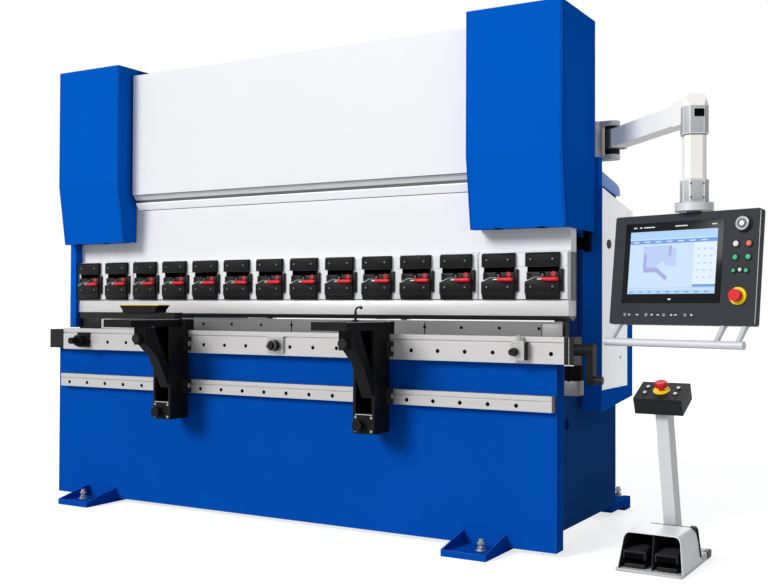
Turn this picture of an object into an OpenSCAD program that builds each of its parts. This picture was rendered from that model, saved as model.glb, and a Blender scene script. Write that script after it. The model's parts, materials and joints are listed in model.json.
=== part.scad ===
// CNC hydraulic press brake, millimetres.
// +X runs along the machine to the operator's right, +Y to the back, +Z up.
// The origin lies on the floor, midway between the two front anchor holes.

/* [Table] */
// Width of the table's front plate
table_w = 3100; // [2900:10:3300]
// Thickness of the table's front plate
table_t = 85; // [70:1:95]
// Distance from the anchor hole line back to the table's front face
table_y = 110; // [100:1:130]
// Height of the front plate's top edge
table_top = 930; // [900:1:950]
// Thickness of the bed slab that carries the die holder
bed_slab_t = 70; // [50:1:80]
// Height of the bed slab's top face
bed_z = 955; // [940:1:960]
// Width of the bed slab, front to back
bed_slab_d = 215; // [200:1:240]
// Thickness of the rear bed beam
bed_beam_t = 60; // [40:1:70]
// Height of the rear bed beam
bed_beam_h = 600; // [400:10:700]

/* [Side frames] */
// How far each side frame's outer face stands in from the table's end
frame_inset = 70; // [50:1:80]
// Thickness of each side frame
frame_t = 50; // [40:1:60]
// Depth of each side frame, from the table's front face to its back edge
frame_d = 1060; // [1000:10:1200]
// Distance from the table's front face to the back of the throat
throat_d = 450; // [430:5:470]
// Height of the throat's upper edge
throat_top = 1640; // [1620:5:1650]
// Corner radius of the throat
throat_r = 80; // [40:5:90]
// Height of the side frames
frame_h = 2380; // [2360:5:2400]
// Depth of the frame's head, from the table's front face
frame_head_d = 720; // [700:5:760]
// Height where the frame's back edge starts to slope forward
frame_slope_z = 1772; // [1750:2:1800]
// Vertical rise of that slope
frame_slope_h = 58; // [40:2:90]

/* [Ram] */
// How far the ram reaches past the table at each end
ram_over = 5; // [0:1:10]
// Thickness of the ram
ram_t = 70; // [60:1:76]
// Distance from the table's front face to the ram's front face
ram_setback = 165; // [160:1:175]
// Height of the ram's bottom edge, ram closed
ram_bottom = 1366; // [1360:1:1372]
// Height of the ram's shoulders, under the cylinders
ram_shoulder = 1700; // [1690:1:1710]
// Height of the ram's top edge above the side frames, ram closed
ram_rise = 60; // [40:1:80]
// Gap between the ram's upper part and each cylinder cover
ram_cover_gap = 15; // [10:1:40]
// Upward stroke of the ram
stroke = 160; // [100:5:160]
// Thickness of the guide strips behind the ram
guide_strip_t = 29.7; // [26:0.1:32]
// Depth of the front cover panel on the ram
panel_d = 60; // [50:1:70]
// Sheet thickness of the ram's cover panel
panel_sheet = 4; // [3:0.5:6]
// Height of the cover panel's lower edge
panel_bottom = 1722; // [1715:1:1730]
// Height of the moulding under the cover panel
moulding_h = 44; // [30:1:50]

/* [Tooling] */
// Height of the punch, clamp bar to tip
punch_h = 93; // [80:1:93]
// Width of the punch's flat nose
punch_nose = 16; // [8:1:20]
// Height of the bevel on the punch
punch_bevel = 21; // [15:1:30]
// Number of tool clamps
clamp_count = 14; // [10:1:14]
// Gap between two clamps
clamp_gap = 41.5; // [36:0.5:60]
// Depth of one clamp, from the ram's face
clamp_d = 50; // [40:1:54]
// Height of one clamp
clamp_h = 217; // [210:1:220]
// How far the die holder's ends stand in from the table's ends
die_inset = 35; // [20:1:80]
// Height of the die holder
die_holder_h = 79; // [70:1:80]
// Width of the lower die, front to back
die_d = 60; // [50:1:66]
// Height of the lower die above its holder
die_h = 10; // [8:0.5:11]
// Opening of the die's V groove
die_v = 24; // [20:1:28]

/* [Cylinders and covers] */
// Distance from a cover's inner edge to its cylinder's axis
cylinder_in = 200; // [190:1:205]
// Outer radius of each cylinder
cylinder_r = 115; // [90:1:118]
// Radius of each piston rod
rod_r = 55; // [40:1:60]
// Height of each cylinder's bottom face
cylinder_bottom = 1880; // [1875:1:1890]
// Height of each cylinder's top face above the side frames
cylinder_rise = 20; // [0:1:40]
// Depth of the cylinder seat's top face below the top of the side frames
seat_drop = 320; // [300:5:340]
// Thickness of the cylinder seat
seat_t = 60; // [40:1:80]
// Width of each cylinder cover
cover_w = 470; // [455:1:470]
// How far each cover reaches past the table's end
cover_over = 20; // [20:1:30]
// Height of the covers' top face above the side frames
cover_rise = 110; // [90:1:130]
// Height where the covers' front starts to slope back
cover_break = 1815; // [1750:5:1850]
// Height of the covers' bottom edge
cover_bottom = 1474; // [1465:1:1485]
// How far the covers' bottom edge stands back from their front
cover_slope = 50; // [30:1:60]
// Depth of each cover's outer side
cover_d = 454; // [430:1:460]
// Sheet thickness of the covers
cover_sheet = 4; // [3:0.5:5]

/* [Front rails] */
// How far the upper rail's left end stands in from the table's end
upper_rail_in = 82; // [60:1:100]
// How far the upper rail's right end reaches past the table's end
upper_rail_over = 52; // [45:1:60]
// Bottom height of the upper rail
upper_rail_z = 860; // [850:1:865]
// Height of the upper rail
upper_rail_h = 120; // [110:1:125]
// Depth of the upper rail
upper_rail_d = 50; // [45:1:60]
// How far the lower rail's left end stands in from the table's end
lower_rail_in = 53; // [30:1:80]
// How far the lower rail's right end stands in from the table's end
lower_rail_in_right = 8; // [5:1:50]
// Bottom height of the lower rail
lower_rail_z = 645; // [630:1:660]
// Height of the lower rail
lower_rail_h = 72; // [60:1:76]
// Depth of the lower rail
lower_rail_d = 40; // [35:1:44]
// Spacing of the index holes in the rails
rail_hole_pitch = 140; // [120:1:160]
// Radius of the index holes
rail_hole_r = 6; // [4:0.5:8]

/* [Support arms] */
// Width of the arms' top plates
arm_w = 190; // [180:1:200]
// Reach of the arms in front of the upper rail
arm_reach = 400; // [360:5:440]
// Thickness of the arms' top plates
arm_top_t = 40; // [30:1:42]
// Height of the arms' working surface
arm_z = 1040; // [1036:1:1044]
// Centre of the left arm
arm_left_x = -655; // [-700:5:-620]
// Centre of the right arm
arm_right_x = 635; // [600:5:680]
// Height of the arms' columns
column_h = 488; // [470:2:500]
// Depth of the arms' columns
column_d = 140; // [120:1:150]
// Width of the arms' columns
column_w = 118; // [100:1:120]
// Length of the sheet bar on the left arm
sheet_bar_l = 700; // [600:10:720]

/* [Side guards] */
// How far each side guard's outer face stands out from the table's end
guard_over = 55; // [45:1:70]
// Width of the guard's tube
guard_tube = 40; // [30:1:40]
// Depth of the guard's front post
guard_post_w = 44; // [36:1:50]
// Depth of the side guard
guard_d = 490; // [480:5:500]
// Gap between the cylinder cover and the guard's front
guard_cover_gap = 2; // [1:1:6]
// Bottom height of the side guards
guard_z = 612; // [600:2:620]
// Height of the side guards at the front
guard_h = 1075; // [1065:5:1085]
// Fall of the guard's top edge towards the back
guard_fall = 80; // [60:5:100]
// Rise of the guard's bottom edge towards the back
guard_rise = 45; // [30:1:55]
// Height of the blue sill under the guard doors
guard_sill = 103; // [95:1:110]
// Running gap around the guard doors
door_gap = 4; // [2:0.5:5]

/* [Pendant] */
// How far the pendant arm's pivot stands out from the table's end
pivot_over = 42; // [36:1:60]
// Position of the pendant arm's pivot, front to back
pivot_y = 760; // [740:5:780]
// Height of the pendant arm's centre line
arm_beam_z = 1940; // [1920:5:1960]
// Height of the pendant arm's beam
arm_beam_h = 88; // [80:1:92]
// Length of the pendant arm, pivot to drop tube
pendant_l = 794; // [780:2:800]
// Direction of the pendant arm, in degrees from +X
pendant_angle = -46.9; // [-50:0.1:-40]
// Width of the drop tube across its flats
drop_w = 90; // [80:1:94]
// Width of the control panel
panel_w = 680; // [660:5:690]
// Height of the control panel
panel_h = 474; // [460:2:480]
// Thickness of the control panel's front case
panel_case_t = 36; // [30:1:40]
// Turn of the control panel about its drop tube, in degrees
panel_yaw = -16.5; // [-20:0.5:-12]
// Backward lean of the control panel, in degrees
panel_tilt = 6.75; // [4:0.25:8]
// Height of the control panel's centre
panel_z = 1275; // [1270:1:1280]

/* [Pedal station] */
// How far the pedal station's centre stands out from the table's end
pedal_over = 434; // [420:2:450]
// Position of the pedal station, front to back
pedal_y = 268; // [255:1:285]
// Turn of the pedal station, in degrees
pedal_turn = -1; // [-4:0.5:4]
// Width of the pedal station's base
pedal_w = 290; // [280:2:310]
// Depth of the pedal station's base
pedal_d = 465; // [450:5:480]
// Height of the pedal shroud above the floor
shroud_top = 164; // [158:1:170]
// Length of the operator post along its lean
post_h = 686; // [660:2:700]
// Forward lean of the operator post, in degrees
post_lean = 14.4; // [8:0.2:16]

/* [Back gauge] */
// Height of the back gauge's guide rails
gauge_rail_z = 760; // [740:5:780]
// Travel of the back gauge
gauge_travel = 250; // [200:10:260]

/* [Clearances] */
// Gap between sliding faces
slide_gap = 0.3; // [0.2:0.05:0.5]
// Radial gap of a shaft in its bore
running_gap = 0.08; // [0.02:0.01:0.1]

/* [Hidden] */
$fn = 48;

frame_x = table_w/2 - frame_inset;
ram_w = table_w + 2*ram_over;
ram_top = frame_h + ram_rise;
clamp_pitch = table_w/clamp_count;
clamp_w = clamp_pitch - clamp_gap;
die_holder_w = table_w - 2*die_inset;
cover_x1 = table_w/2 + cover_over;
cover_x0 = cover_x1 - cover_w;
cover_top = frame_h + cover_rise;
ram_upper_w = 2*(cover_x0 - ram_cover_gap);
cylinder_x = cover_x0 + cylinder_in;
cylinder_top = frame_h + cylinder_rise;
seat_z = frame_h - seat_drop;
upper_rail_x0 = upper_rail_in - table_w/2;
upper_rail_x1 = table_w/2 + upper_rail_over;
lower_rail_x0 = lower_rail_in - table_w/2;
lower_rail_x1 = table_w/2 - lower_rail_in_right;
guard_x = table_w/2 + guard_over;
pivot_x = table_w/2 + pivot_over;
pedal_x = table_w/2 + pedal_over;

foot_t = 20;
frame_lift = 65;
foot_w = 220;
foot_inset = 350;
foot_front = table_y - 225;
foot_gusset_t = 8;
anchor_x = table_w/2 - foot_inset - 35;
anchor_r = 9;
screw_r = 12;
rear_foot_x0 = frame_x - 130;
rear_foot_x1 = frame_x - 8;
rear_hole_x = frame_x - 69;
rear_anchor_y = table_y + frame_d + 215;
rear_screw_y = rear_anchor_y + 50;
rear_foot_back = rear_screw_y + 25;
rear_pad_t = 25;

table_back = table_y + table_t;
bed_under = bed_z - bed_slab_t;
frame_in = frame_x - frame_t;
frame_back = table_y + frame_d;
throat_y = table_y + throat_d;
frame_head_back = table_y + frame_head_d;

ram_y = table_y + ram_setback;
ram_back = ram_y + ram_t;
tool_y = ram_y + ram_t/2;
panel_y = ram_y - panel_d;
guide_y = ram_back + slide_gap;
nose_y = guide_y + guide_strip_t;
seat_y = table_y + 90;
top_beam_y = ram_back + 85;
top_beam_t = 60;
top_beam_h = 580;
tank_y = top_beam_y + top_beam_t;
tank_d = 300;
tank_z = frame_h - 430;
tank_w = 2*(cover_x0 - 100);
tank_h = 300;
tank_top = tank_z + tank_h;
tank_mid = tank_y + tank_d/2;
motor_x0 = -tank_w/2 + 350;
motor_x1 = motor_x0 + 350;
motor_z = tank_top + 92;

clamp_bar_h = 223;
punch_tip = ram_bottom - clamp_bar_h - punch_h;
clamp_z = ram_bottom - clamp_h - 1;
clamp_top = clamp_z + clamp_h;
clamp_y = ram_y - clamp_d;
holder_top = bed_z + die_holder_h;
die_top = holder_top + die_h;

rod_engaged = 160;

cover_y = table_y;
cover_back = table_y + cover_d;
cover_inner_back = ram_y - 10;
cover_floor_back = ram_y - clamp_d - 10;

rail_y = table_y - upper_rail_d;
lower_rail_y = table_y - lower_rail_d;
rail_top = upper_rail_z + upper_rail_h;
t_slot_z = rail_top - 29;
end_block_w = 45;
end_block_right = upper_rail_x1 + end_block_w;
crank_y = table_y - 25;
crank_z = rail_top - 55;
crank_x = end_block_right + 85;
crank_t = 30;
crank_pin_l = 32;
crank_l = 130;

guard_y = cover_back + guard_cover_gap;
guard_back = guard_y + guard_d;
guard_in = guard_x - guard_tube;

elbow_x = pivot_x + pendant_l*cos(pendant_angle);
elbow_y = pivot_y + pendant_l*sin(pendant_angle);
coupling_z = 1552;
coupling_h = 98;
disc_z = 1516;
disc_t = coupling_z - disc_z - slide_gap;
panel_ahead = 62;
panel_shift = -24;

function clamp_pos(i) = (i - (clamp_count - 1)/2)*clamp_pitch;

// A box given by its two corners
module block(x0, x1, y0, y1, z0, z1)
    translate([x0, y0, z0])
        cube([x1 - x0, y1 - y0, z1 - z0]);

// A part and its mirror image across the machine's centre
module both_sides() {
    children();
    mirror([1, 0, 0]) children();
}

// An outline drawn in Y and Z, extruded along X from x0 to x1
module slab_x(x0, x1)
    translate([x0, 0, 0])
        rotate([90, 0, 90])
            linear_extrude(x1 - x0)
                children();

// A round bar along X, Y or Z
module rod_x(x0, x1, y, z, r)
    translate([x0, y, z]) rotate([0, 90, 0]) cylinder(h = x1 - x0, r = r);
module rod_y(x, y0, y1, z, r)
    translate([x, y0, z]) rotate([-90, 0, 0]) cylinder(h = y1 - y0, r = r);
module rod_z(x, y, z0, z1, r)
    translate([x, y, z0]) cylinder(h = z1 - z0, r = r);

// ---------------------------------------------------------------- frame and bed

module frame_outline()
    difference() {
        polygon([
            [table_back, frame_lift], [frame_back, frame_lift], [frame_back, frame_slope_z],
            [frame_head_back, frame_slope_z + frame_slope_h], [frame_head_back, frame_h],
            [seat_y, frame_h], [seat_y, cylinder_bottom + 20], [nose_y, cylinder_bottom + 20],
            [nose_y, bed_under], [table_back, bed_under]
        ]);
        polygon([
            [table_back, bed_under], [throat_y - throat_r, bed_under],
            [throat_y - throat_r, throat_top], [table_back, throat_top]
        ]);
        polygon([
            [table_back, bed_under + throat_r], [throat_y, bed_under + throat_r],
            [throat_y, throat_top - throat_r], [table_back, throat_top - throat_r]
        ]);
        translate([throat_y - throat_r, bed_under + throat_r]) circle(throat_r);
        translate([throat_y - throat_r, throat_top - throat_r]) circle(throat_r);
        // lifting holes in the lower frame
        translate([table_y + 320, 560]) circle(30);
        translate([table_y + 230, 200]) circle(22);
        translate([table_y + 800, 1700]) circle(45);
    }

module side_frames()
    color("royalblue")
        both_sides()
            slab_x(frame_in, frame_x)
                frame_outline();

module table_front_plate()
    color("royalblue")
        block(-table_w/2, table_w/2, table_y, table_back, foot_t, table_top);

module bed_slab()
    color("dimgray")
        union() {
            block(-table_w/2, table_w/2, table_back, table_back + bed_slab_d, bed_under, bed_z);
            // key strip behind the front plate
            block(-frame_in + 1, frame_in - 1, table_back, table_back + 25, bed_under - 60, bed_under);
        }

module bed_beam()
    block(-frame_in, frame_in, table_back + bed_slab_d - bed_beam_t, table_back + bed_slab_d,
        bed_under - bed_beam_h, bed_under);

module top_beam() {
    block(-frame_in, frame_in, top_beam_y, top_beam_y + top_beam_t, frame_h - top_beam_h - 50, frame_h - 50);
    // seats that carry the cylinders
    both_sides()
        difference() {
            block(cover_x0 + 30, frame_in, seat_y, top_beam_y, seat_z - seat_t, seat_z);
            rod_z(cylinder_x, tool_y, seat_z - seat_t - 1, seat_z + 1, cylinder_r + 0.5);
        }
}

module cross_beams()
    color("royalblue") {
        bed_beam();
        top_beam();
    }

module front_foot()
    difference() {
        union() {
            block(table_w/2 - foot_inset - foot_w/2, table_w/2 - foot_inset + foot_w/2,
                foot_front, table_back, 0, foot_t);
            // front lip
            block(table_w/2 - foot_inset - foot_w/2, table_w/2 - foot_inset + foot_w/2,
                foot_front, foot_front + 10, 0, 30);
            for (side = [-1, 1])
                slab_x(table_w/2 - foot_inset + side*(foot_w/2 - foot_gusset_t/2) - foot_gusset_t/2,
                    table_w/2 - foot_inset + side*(foot_w/2 - foot_gusset_t/2) + foot_gusset_t/2)
                    polygon([[foot_front, 0], [table_y, 0], [table_y, 78], [foot_front, 30]]);
        }
        rod_z(anchor_x, 0, -1, foot_t + 1, anchor_r);
        rod_z(anchor_x + 70, 0, -1, foot_t + 1, screw_r + 0.5);
    }

module rear_foot()
    difference() {
        union() {
            block(rear_foot_x0, rear_foot_x1, rear_foot_back - 100, rear_foot_back, 0, rear_pad_t);
            // bar that reaches back from under the frame
            block(rear_foot_x0, rear_foot_x1, frame_back - 40, rear_foot_back, rear_pad_t - 1, frame_lift);
        }
        rod_z(rear_hole_x, rear_anchor_y, -1, frame_lift + 1, anchor_r);
        rod_z(rear_hole_x, rear_screw_y, -1, frame_lift + 1, screw_r + 0.5);
    }

module floor_feet()
    color("royalblue")
        both_sides() {
            front_foot();
            rear_foot();
        }

// A levelling screw that stands on the floor, with its nut on the foot's top
module levelling_screw(x, y, foot_top) {
    rod_z(x, y, 0.5, foot_top + 52, screw_r);
    translate([x, y, foot_top]) cylinder(h = 18, r = 19, $fn = 6);
}

module levelling_screws()
    color("silver")
        both_sides() {
            levelling_screw(anchor_x + 70, 0, foot_t);
            levelling_screw(rear_hole_x, rear_screw_y, frame_lift);
        }

// ---------------------------------------------------------------- covers and cylinders

// Side view of a cylinder cover; inset is how far inside the outer face it lies
module cover_outline(inset, back)
    polygon([
        [cover_y + inset, cover_top - inset], [back, cover_top - inset], [back, cover_bottom + inset],
        [cover_y + cover_slope + inset, cover_bottom + inset], [cover_y + inset, cover_break]
    ]);

module cylinder_cover()
    difference() {
        slab_x(cover_x0, cover_x1)
            cover_outline(0, cover_back);
        // hollow, open at the back
        slab_x(cover_x0 + cover_sheet, cover_x1 - cover_sheet)
            cover_outline(cover_sheet, cover_back + 1);
        // the inner side stops ahead of the ram
        block(cover_x0 - 1, cover_x0 + cover_sheet + 1, cover_inner_back, cover_back + 1,
            cover_bottom - 1, cover_top - cover_sheet);
        // the floor stops ahead of the clamps
        block(cover_x0 - 1, cover_x1 - cover_sheet, cover_floor_back, cover_back + 1,
            cover_bottom - 1, cover_bottom + cover_sheet + 1);
    }

module cover_return()
    block(frame_x, cover_x1 - cover_sheet, cover_back - cover_sheet, cover_back,
        cover_bottom, cover_top - cover_sheet);

module cylinder_covers()
    color("royalblue")
        both_sides()
            union() {
                cylinder_cover();
                cover_return();
            }

module cylinders()
    color("darkslategray")
        both_sides()
            difference() {
                union() {
                    rod_z(cylinder_x, tool_y, cylinder_bottom, cylinder_top, cylinder_r);
                    rod_z(cylinder_x, tool_y, seat_z, seat_z + 40, cylinder_r + 4);
                }
                rod_z(cylinder_x, tool_y, min(cylinder_bottom, seat_z) - 1, cylinder_top - 60,
                    rod_r + running_gap);
            }

module guide_strips()
    color("silver")
        both_sides()
            block(frame_in, frame_x, guide_y, nose_y, throat_top - 60, cylinder_bottom);

// ---------------------------------------------------------------- tools on the bed

module die_holder()
    color("darkgray")
        difference() {
            block(-die_holder_w/2, die_holder_w/2, ram_y, ram_back, bed_z, holder_top);
            // channel that locates the lower die
            block(-die_holder_w/2 - 1, die_holder_w/2 + 1, tool_y - 12, tool_y + 12, holder_top - 15,
                holder_top + 1);
            // clamping screws along the front
            for (x = [-die_holder_w/2 + 115:200:die_holder_w/2 - 60])
                rod_y(x, ram_y - 1, ram_y + 12, holder_top - 22, 6);
        }

module lower_die()
    color("silver")
        slab_x(-die_holder_w/2, die_holder_w/2)
            polygon([
                [tool_y - die_d/2, holder_top], [tool_y - 11.8, holder_top],
                [tool_y - 11.8, holder_top - 14.7], [tool_y + 11.8, holder_top - 14.7],
                [tool_y + 11.8, holder_top], [tool_y + die_d/2, holder_top],
                [tool_y + die_d/2, die_top], [tool_y + die_v/2, die_top],
                [tool_y, die_top - die_v/2 + 3], [tool_y - die_v/2, die_top],
                [tool_y - die_d/2, die_top]
            ]);

// ---------------------------------------------------------------- front rails

module index_holes(x0, x1, y, z)
    for (x = [x0 + 70:rail_hole_pitch:x1 - 40])
        rod_y(x, y - 1, y + 12, z, rail_hole_r);

module upper_rail()
    color("gainsboro")
        difference() {
            slab_x(upper_rail_x0, upper_rail_x1)
                polygon([
                    [rail_y, upper_rail_z], [table_y, upper_rail_z], [table_y, rail_top],
                    [table_y - 14, rail_top], [table_y - 14, rail_top - 9],
                    [table_y - 26, rail_top - 9], [table_y - 26, rail_top],
                    [rail_y, rail_top], [rail_y, t_slot_z + 6],
                    [rail_y + 7, t_slot_z + 6], [rail_y + 7, t_slot_z], [rail_y, t_slot_z]
                ]);
            index_holes(upper_rail_x0, upper_rail_x1, rail_y, upper_rail_z + 45);
        }

module lower_rail()
    color("gainsboro")
        difference() {
            slab_x(lower_rail_x0, lower_rail_x1)
                polygon([
                    [lower_rail_y, lower_rail_z], [table_y, lower_rail_z],
                    [table_y, lower_rail_z + lower_rail_h],
                    [lower_rail_y, lower_rail_z + lower_rail_h],
                    [lower_rail_y, lower_rail_z + lower_rail_h - 22],
                    [lower_rail_y + 6, lower_rail_z + lower_rail_h - 22],
                    [lower_rail_y + 6, lower_rail_z + lower_rail_h - 27],
                    [lower_rail_y, lower_rail_z + lower_rail_h - 27]
                ]);
            index_holes(lower_rail_x0, lower_rail_x1, lower_rail_y, lower_rail_z + 24);
        }

module rail_end_blocks()
    color("#202224") {
        block(upper_rail_x0 - 110, upper_rail_x0, rail_y, table_y, upper_rail_z + 6, rail_top - 6);
        block(upper_rail_x0 - 110, -table_w/2, table_y, table_y + 40, upper_rail_z + 6, rail_top - 6);
        difference() {
            block(upper_rail_x1, end_block_right, rail_y, table_y + 50, upper_rail_z - 5, rail_top);
            rod_x(upper_rail_x1 - 1, end_block_right + 1, crank_y, crank_z, 18 + running_gap);
        }
    }

// Gearbox that hangs under the right end block
module crowning_drive()
    color("#3a3d40") {
        block(upper_rail_x1, end_block_right + 18, rail_y, table_y + 30,
            upper_rail_z - 135, upper_rail_z - 65);
        block(upper_rail_x1 + 5, end_block_right + 12, rail_y + 10, table_y + 20,
            upper_rail_z - 65, upper_rail_z - 5);
    }

module crank()
    color("#1b1c1e") {
        rod_x(upper_rail_x1 + 2, crank_x, crank_y, crank_z, 18);
        rod_x(end_block_right + 1, crank_x - crank_t, crank_y, crank_z, 25);
        rod_x(crank_x - crank_t, crank_x, crank_y, crank_z, 32);
        slab_x(crank_x - crank_t, crank_x)
            polygon([
                [crank_y - 30, crank_z], [crank_y + 30, crank_z],
                [crank_y + 22, crank_z - crank_l], [crank_y - 22, crank_z - crank_l]
            ]);
        rod_x(crank_x - crank_t, crank_x, crank_y, crank_z - crank_l, 22);
        rod_x(crank_x, crank_x + crank_pin_l, crank_y, crank_z - crank_l, 6);
    }

module crank_grip()
    color("#2a2c2e")
        difference() {
            rod_x(crank_x + slide_gap, crank_x + crank_pin_l + 4, crank_y, crank_z - crank_l, 18);
            rod_x(crank_x - 1, crank_x + crank_pin_l + slide_gap, crank_y, crank_z - crank_l, 6 + running_gap);
        }

// ---------------------------------------------------------------- hydraulics and electrics

module hydraulic_unit()
    color("slategray") {
        difference() {
            block(-tank_w/2, tank_w/2, tank_y, tank_y + tank_d, tank_z, tank_top);
            rod_z(tank_w/2 - 300, tank_mid, tank_top - 30, tank_top + 1, 20);
        }
        // pump motor on its foot, and the valve block
        rod_x(motor_x0, motor_x1, tank_mid, motor_z, 85);
        block(motor_x0 + 30, motor_x1 - 30, tank_mid - 60, tank_mid + 60, tank_top, tank_top + 40);
        rod_x(motor_x1, motor_x1 + 50, tank_mid, motor_z, 50);
        block(motor_x1 + 50, motor_x1 + 200, tank_mid - 70, tank_mid + 70, tank_top, tank_top + 150);
    }

cabinet_w = 500;
cabinet_x0 = -frame_x;
cabinet_x1 = cabinet_x0 + cabinet_w;
cabinet_d = 260;
cabinet_z0 = 500;
cabinet_z1 = 1700;
cabinet_wall = 5;
cabinet_door_t = 18;

hinge_r = 7;
hinge_x = cabinet_x0 - 9;
hinge_y = frame_back + cabinet_d + 6;
hinge_at = [cabinet_z0 + 200, cabinet_z1 - 200];

module electrical_cabinet()
    color("lightgray") {
        difference() {
            block(cabinet_x0, cabinet_x1, frame_back, frame_back + cabinet_d, cabinet_z0, cabinet_z1);
            block(cabinet_x0 + cabinet_wall, cabinet_x1 - cabinet_wall, frame_back + cabinet_wall,
                frame_back + cabinet_d + 1, cabinet_z0 + cabinet_wall, cabinet_z1 - cabinet_wall);
            rod_z(cabinet_x0 + 160, frame_back + 90, cabinet_z0 - 1, cabinet_z0 + cabinet_wall + 1, 16);
        }
        for (z = hinge_at) {
            // knuckle on the cabinet's side, with the hinge's pin
            block(hinge_x - hinge_r, cabinet_x0, frame_back + cabinet_d - 20, frame_back + cabinet_d,
                z - 30, z);
            rod_z(hinge_x, hinge_y, z - 30, z, hinge_r);
            rod_z(hinge_x, hinge_y, z - 1, z + 28, 4);
        }
    }

module cabinet_door()
    color("gainsboro") {
        for (z = hinge_at)
            difference() {
                union() {
                    rod_z(hinge_x, hinge_y, z + slide_gap, z + 30, hinge_r);
                    block(hinge_x, cabinet_x0 + 4, hinge_y + 1, hinge_y + hinge_r - 1, z + slide_gap,
                        z + 30);
                }
                rod_z(hinge_x, hinge_y, z, z + 29, 4 + running_gap);
            }
        block(cabinet_x0 + 2, cabinet_x1 - 2, frame_back + cabinet_d + slide_gap,
            frame_back + cabinet_d + slide_gap + cabinet_door_t, cabinet_z0 + 2, cabinet_z1 - 2);
        rod_y(cabinet_x1 - 40, frame_back + cabinet_d + cabinet_door_t,
            frame_back + cabinet_d + cabinet_door_t + 25, (cabinet_z0 + cabinet_z1)/2, 16);
    }

// ---------------------------------------------------------------- side guards

// Height of the guard's sloping top edge at a given depth
function guard_top_at(y) = guard_z + guard_h - guard_fall*(y - guard_y)/guard_d;

module guard_outline()
    polygon([
        [guard_y, guard_z], [guard_back, guard_z + guard_rise],
        [guard_back, guard_z + guard_h - guard_fall], [guard_y, guard_z + guard_h]
    ]);

module door_outline(gap)
    polygon([
        [guard_y + guard_lip + gap, guard_z + guard_sill + gap],
        [guard_seam - gap, guard_z + guard_sill + gap],
        [guard_seam - gap, guard_top_at(guard_seam) - guard_rim - gap],
        [guard_y + guard_lip + gap, guard_top_at(guard_y + guard_lip) - guard_rim - gap]
    ]);

module side_guard() {
    difference() {
        slab_x(guard_in, guard_x) guard_outline();
        slab_x(guard_in - 1, guard_x + 1) door_outline(0);
        rod_z(door_pin_x, door_pin_y, door_bottom - 24, door_bottom, door_pin_r + running_gap);
        rod_z(door_pin_x, door_pin_y, door_top_back, door_top_back + door_gap + 16,
            door_pin_r + running_gap);
    }
    // front post, behind the door and on up to the pendant bracket
    block(guard_post_x, guard_x - door_t - 3, guard_y, guard_y + guard_post_w, guard_z, guard_z + guard_h);
    block(guard_post_x, guard_x - 15, guard_y, guard_y + guard_post_w, guard_z + guard_h - 20,
        ear_low - ear_t - 10);
    // brackets to the side frame
    for (y = [guard_y + 20, guard_back - 50]) {
        block(frame_x, guard_in + 1, y, y + 30, guard_z + 58, guard_z + 98);
        block(frame_x, guard_in + 1, y, y + 30, guard_top_at(y + 30) - 23, guard_top_at(y + 30) - 3);
    }
}

module side_guards()
    color("royalblue")
        both_sides()
            side_guard();

guard_rim = 30;
guard_lip = 6;
guard_seam = guard_back - 95;
guard_post_x = guard_x - 95;
door_t = 19;
door_pin_x = guard_x - 1 - door_t/2;
door_pin_y = guard_seam - door_gap - 12;
door_pin_r = 5;
door_bottom = guard_z + guard_sill + door_gap;
door_top_back = guard_top_at(door_pin_y) - guard_rim - door_gap;

module guard_door() {
    slab_x(guard_x - 1 - door_t, guard_x - 1) door_outline(door_gap);
    rod_z(door_pin_x, door_pin_y, door_bottom - 22, door_bottom + 5, door_pin_r);
    rod_z(door_pin_x, door_pin_y, door_top_back - 12, door_top_back + door_gap + 14, door_pin_r);
    // latch
    rod_x(guard_x - 2, guard_x + 8, guard_y + 92, guard_z + guard_h - 267, 14);
}

module guard_door_right() color("whitesmoke") guard_door();
module guard_door_left() color("whitesmoke") mirror([1, 0, 0]) guard_door();

// ---------------------------------------------------------------- ram

module ram()
    color("white")
        union() {
            block(-ram_w/2, ram_w/2, ram_y, ram_back, ram_bottom, ram_shoulder);
            block(-ram_upper_w/2, ram_upper_w/2, ram_y, ram_back, ram_shoulder - 1, ram_top);
        }

module ram_panel()
    color("white") {
        slab_x(-ram_upper_w/2, ram_upper_w/2)
            polygon([
                [panel_y, panel_bottom + 41], [panel_y, ram_top + panel_sheet + 1],
                [ram_back, ram_top + panel_sheet + 1], [ram_back, ram_top + 1],
                [panel_y + panel_sheet, ram_top + 1], [panel_y + panel_sheet, panel_bottom + 42],
                [ram_y - 30 + panel_sheet, panel_bottom + 6], [ram_y, panel_bottom + 6],
                [ram_y, panel_bottom], [ram_y - 30, panel_bottom]
            ]);
        // moulding below the panel
        slab_x(-ram_upper_w/2, ram_upper_w/2)
            polygon([
                [ram_y - 30, panel_bottom - 10], [ram_y, panel_bottom - 10],
                [ram_y, panel_bottom - 10 - moulding_h], [ram_y - 30, panel_bottom - 20]
            ]);
    }

module clamp_bar()
    color("whitesmoke")
        difference() {
            block(-ram_w/2, ram_w/2, ram_y, ram_back, punch_tip + punch_h, ram_bottom);
            for (z = [ram_bottom - 60, ram_bottom - 111, ram_bottom - 170])
                block(-ram_w/2 - 1, ram_w/2 + 1, ram_y - 1, ram_y + 2, z, z + 3);
        }

// Side view of a clamp: upper block, recess, lower block with its nose
module clamp_profile()
    polygon([
        [ram_y, clamp_z], [ram_y, clamp_top], [clamp_y + 7, clamp_top], [clamp_y, clamp_top - 9],
        [clamp_y, clamp_top - 62], [clamp_y + 16, clamp_top - 64], [clamp_y + 16, clamp_top - 83],
        [clamp_y + 4, clamp_top - 85], [clamp_y + 4, clamp_z + 97], [clamp_y, clamp_z + 90],
        [clamp_y, clamp_z + 31], [clamp_y + 9, clamp_z]
    ]);

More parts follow.
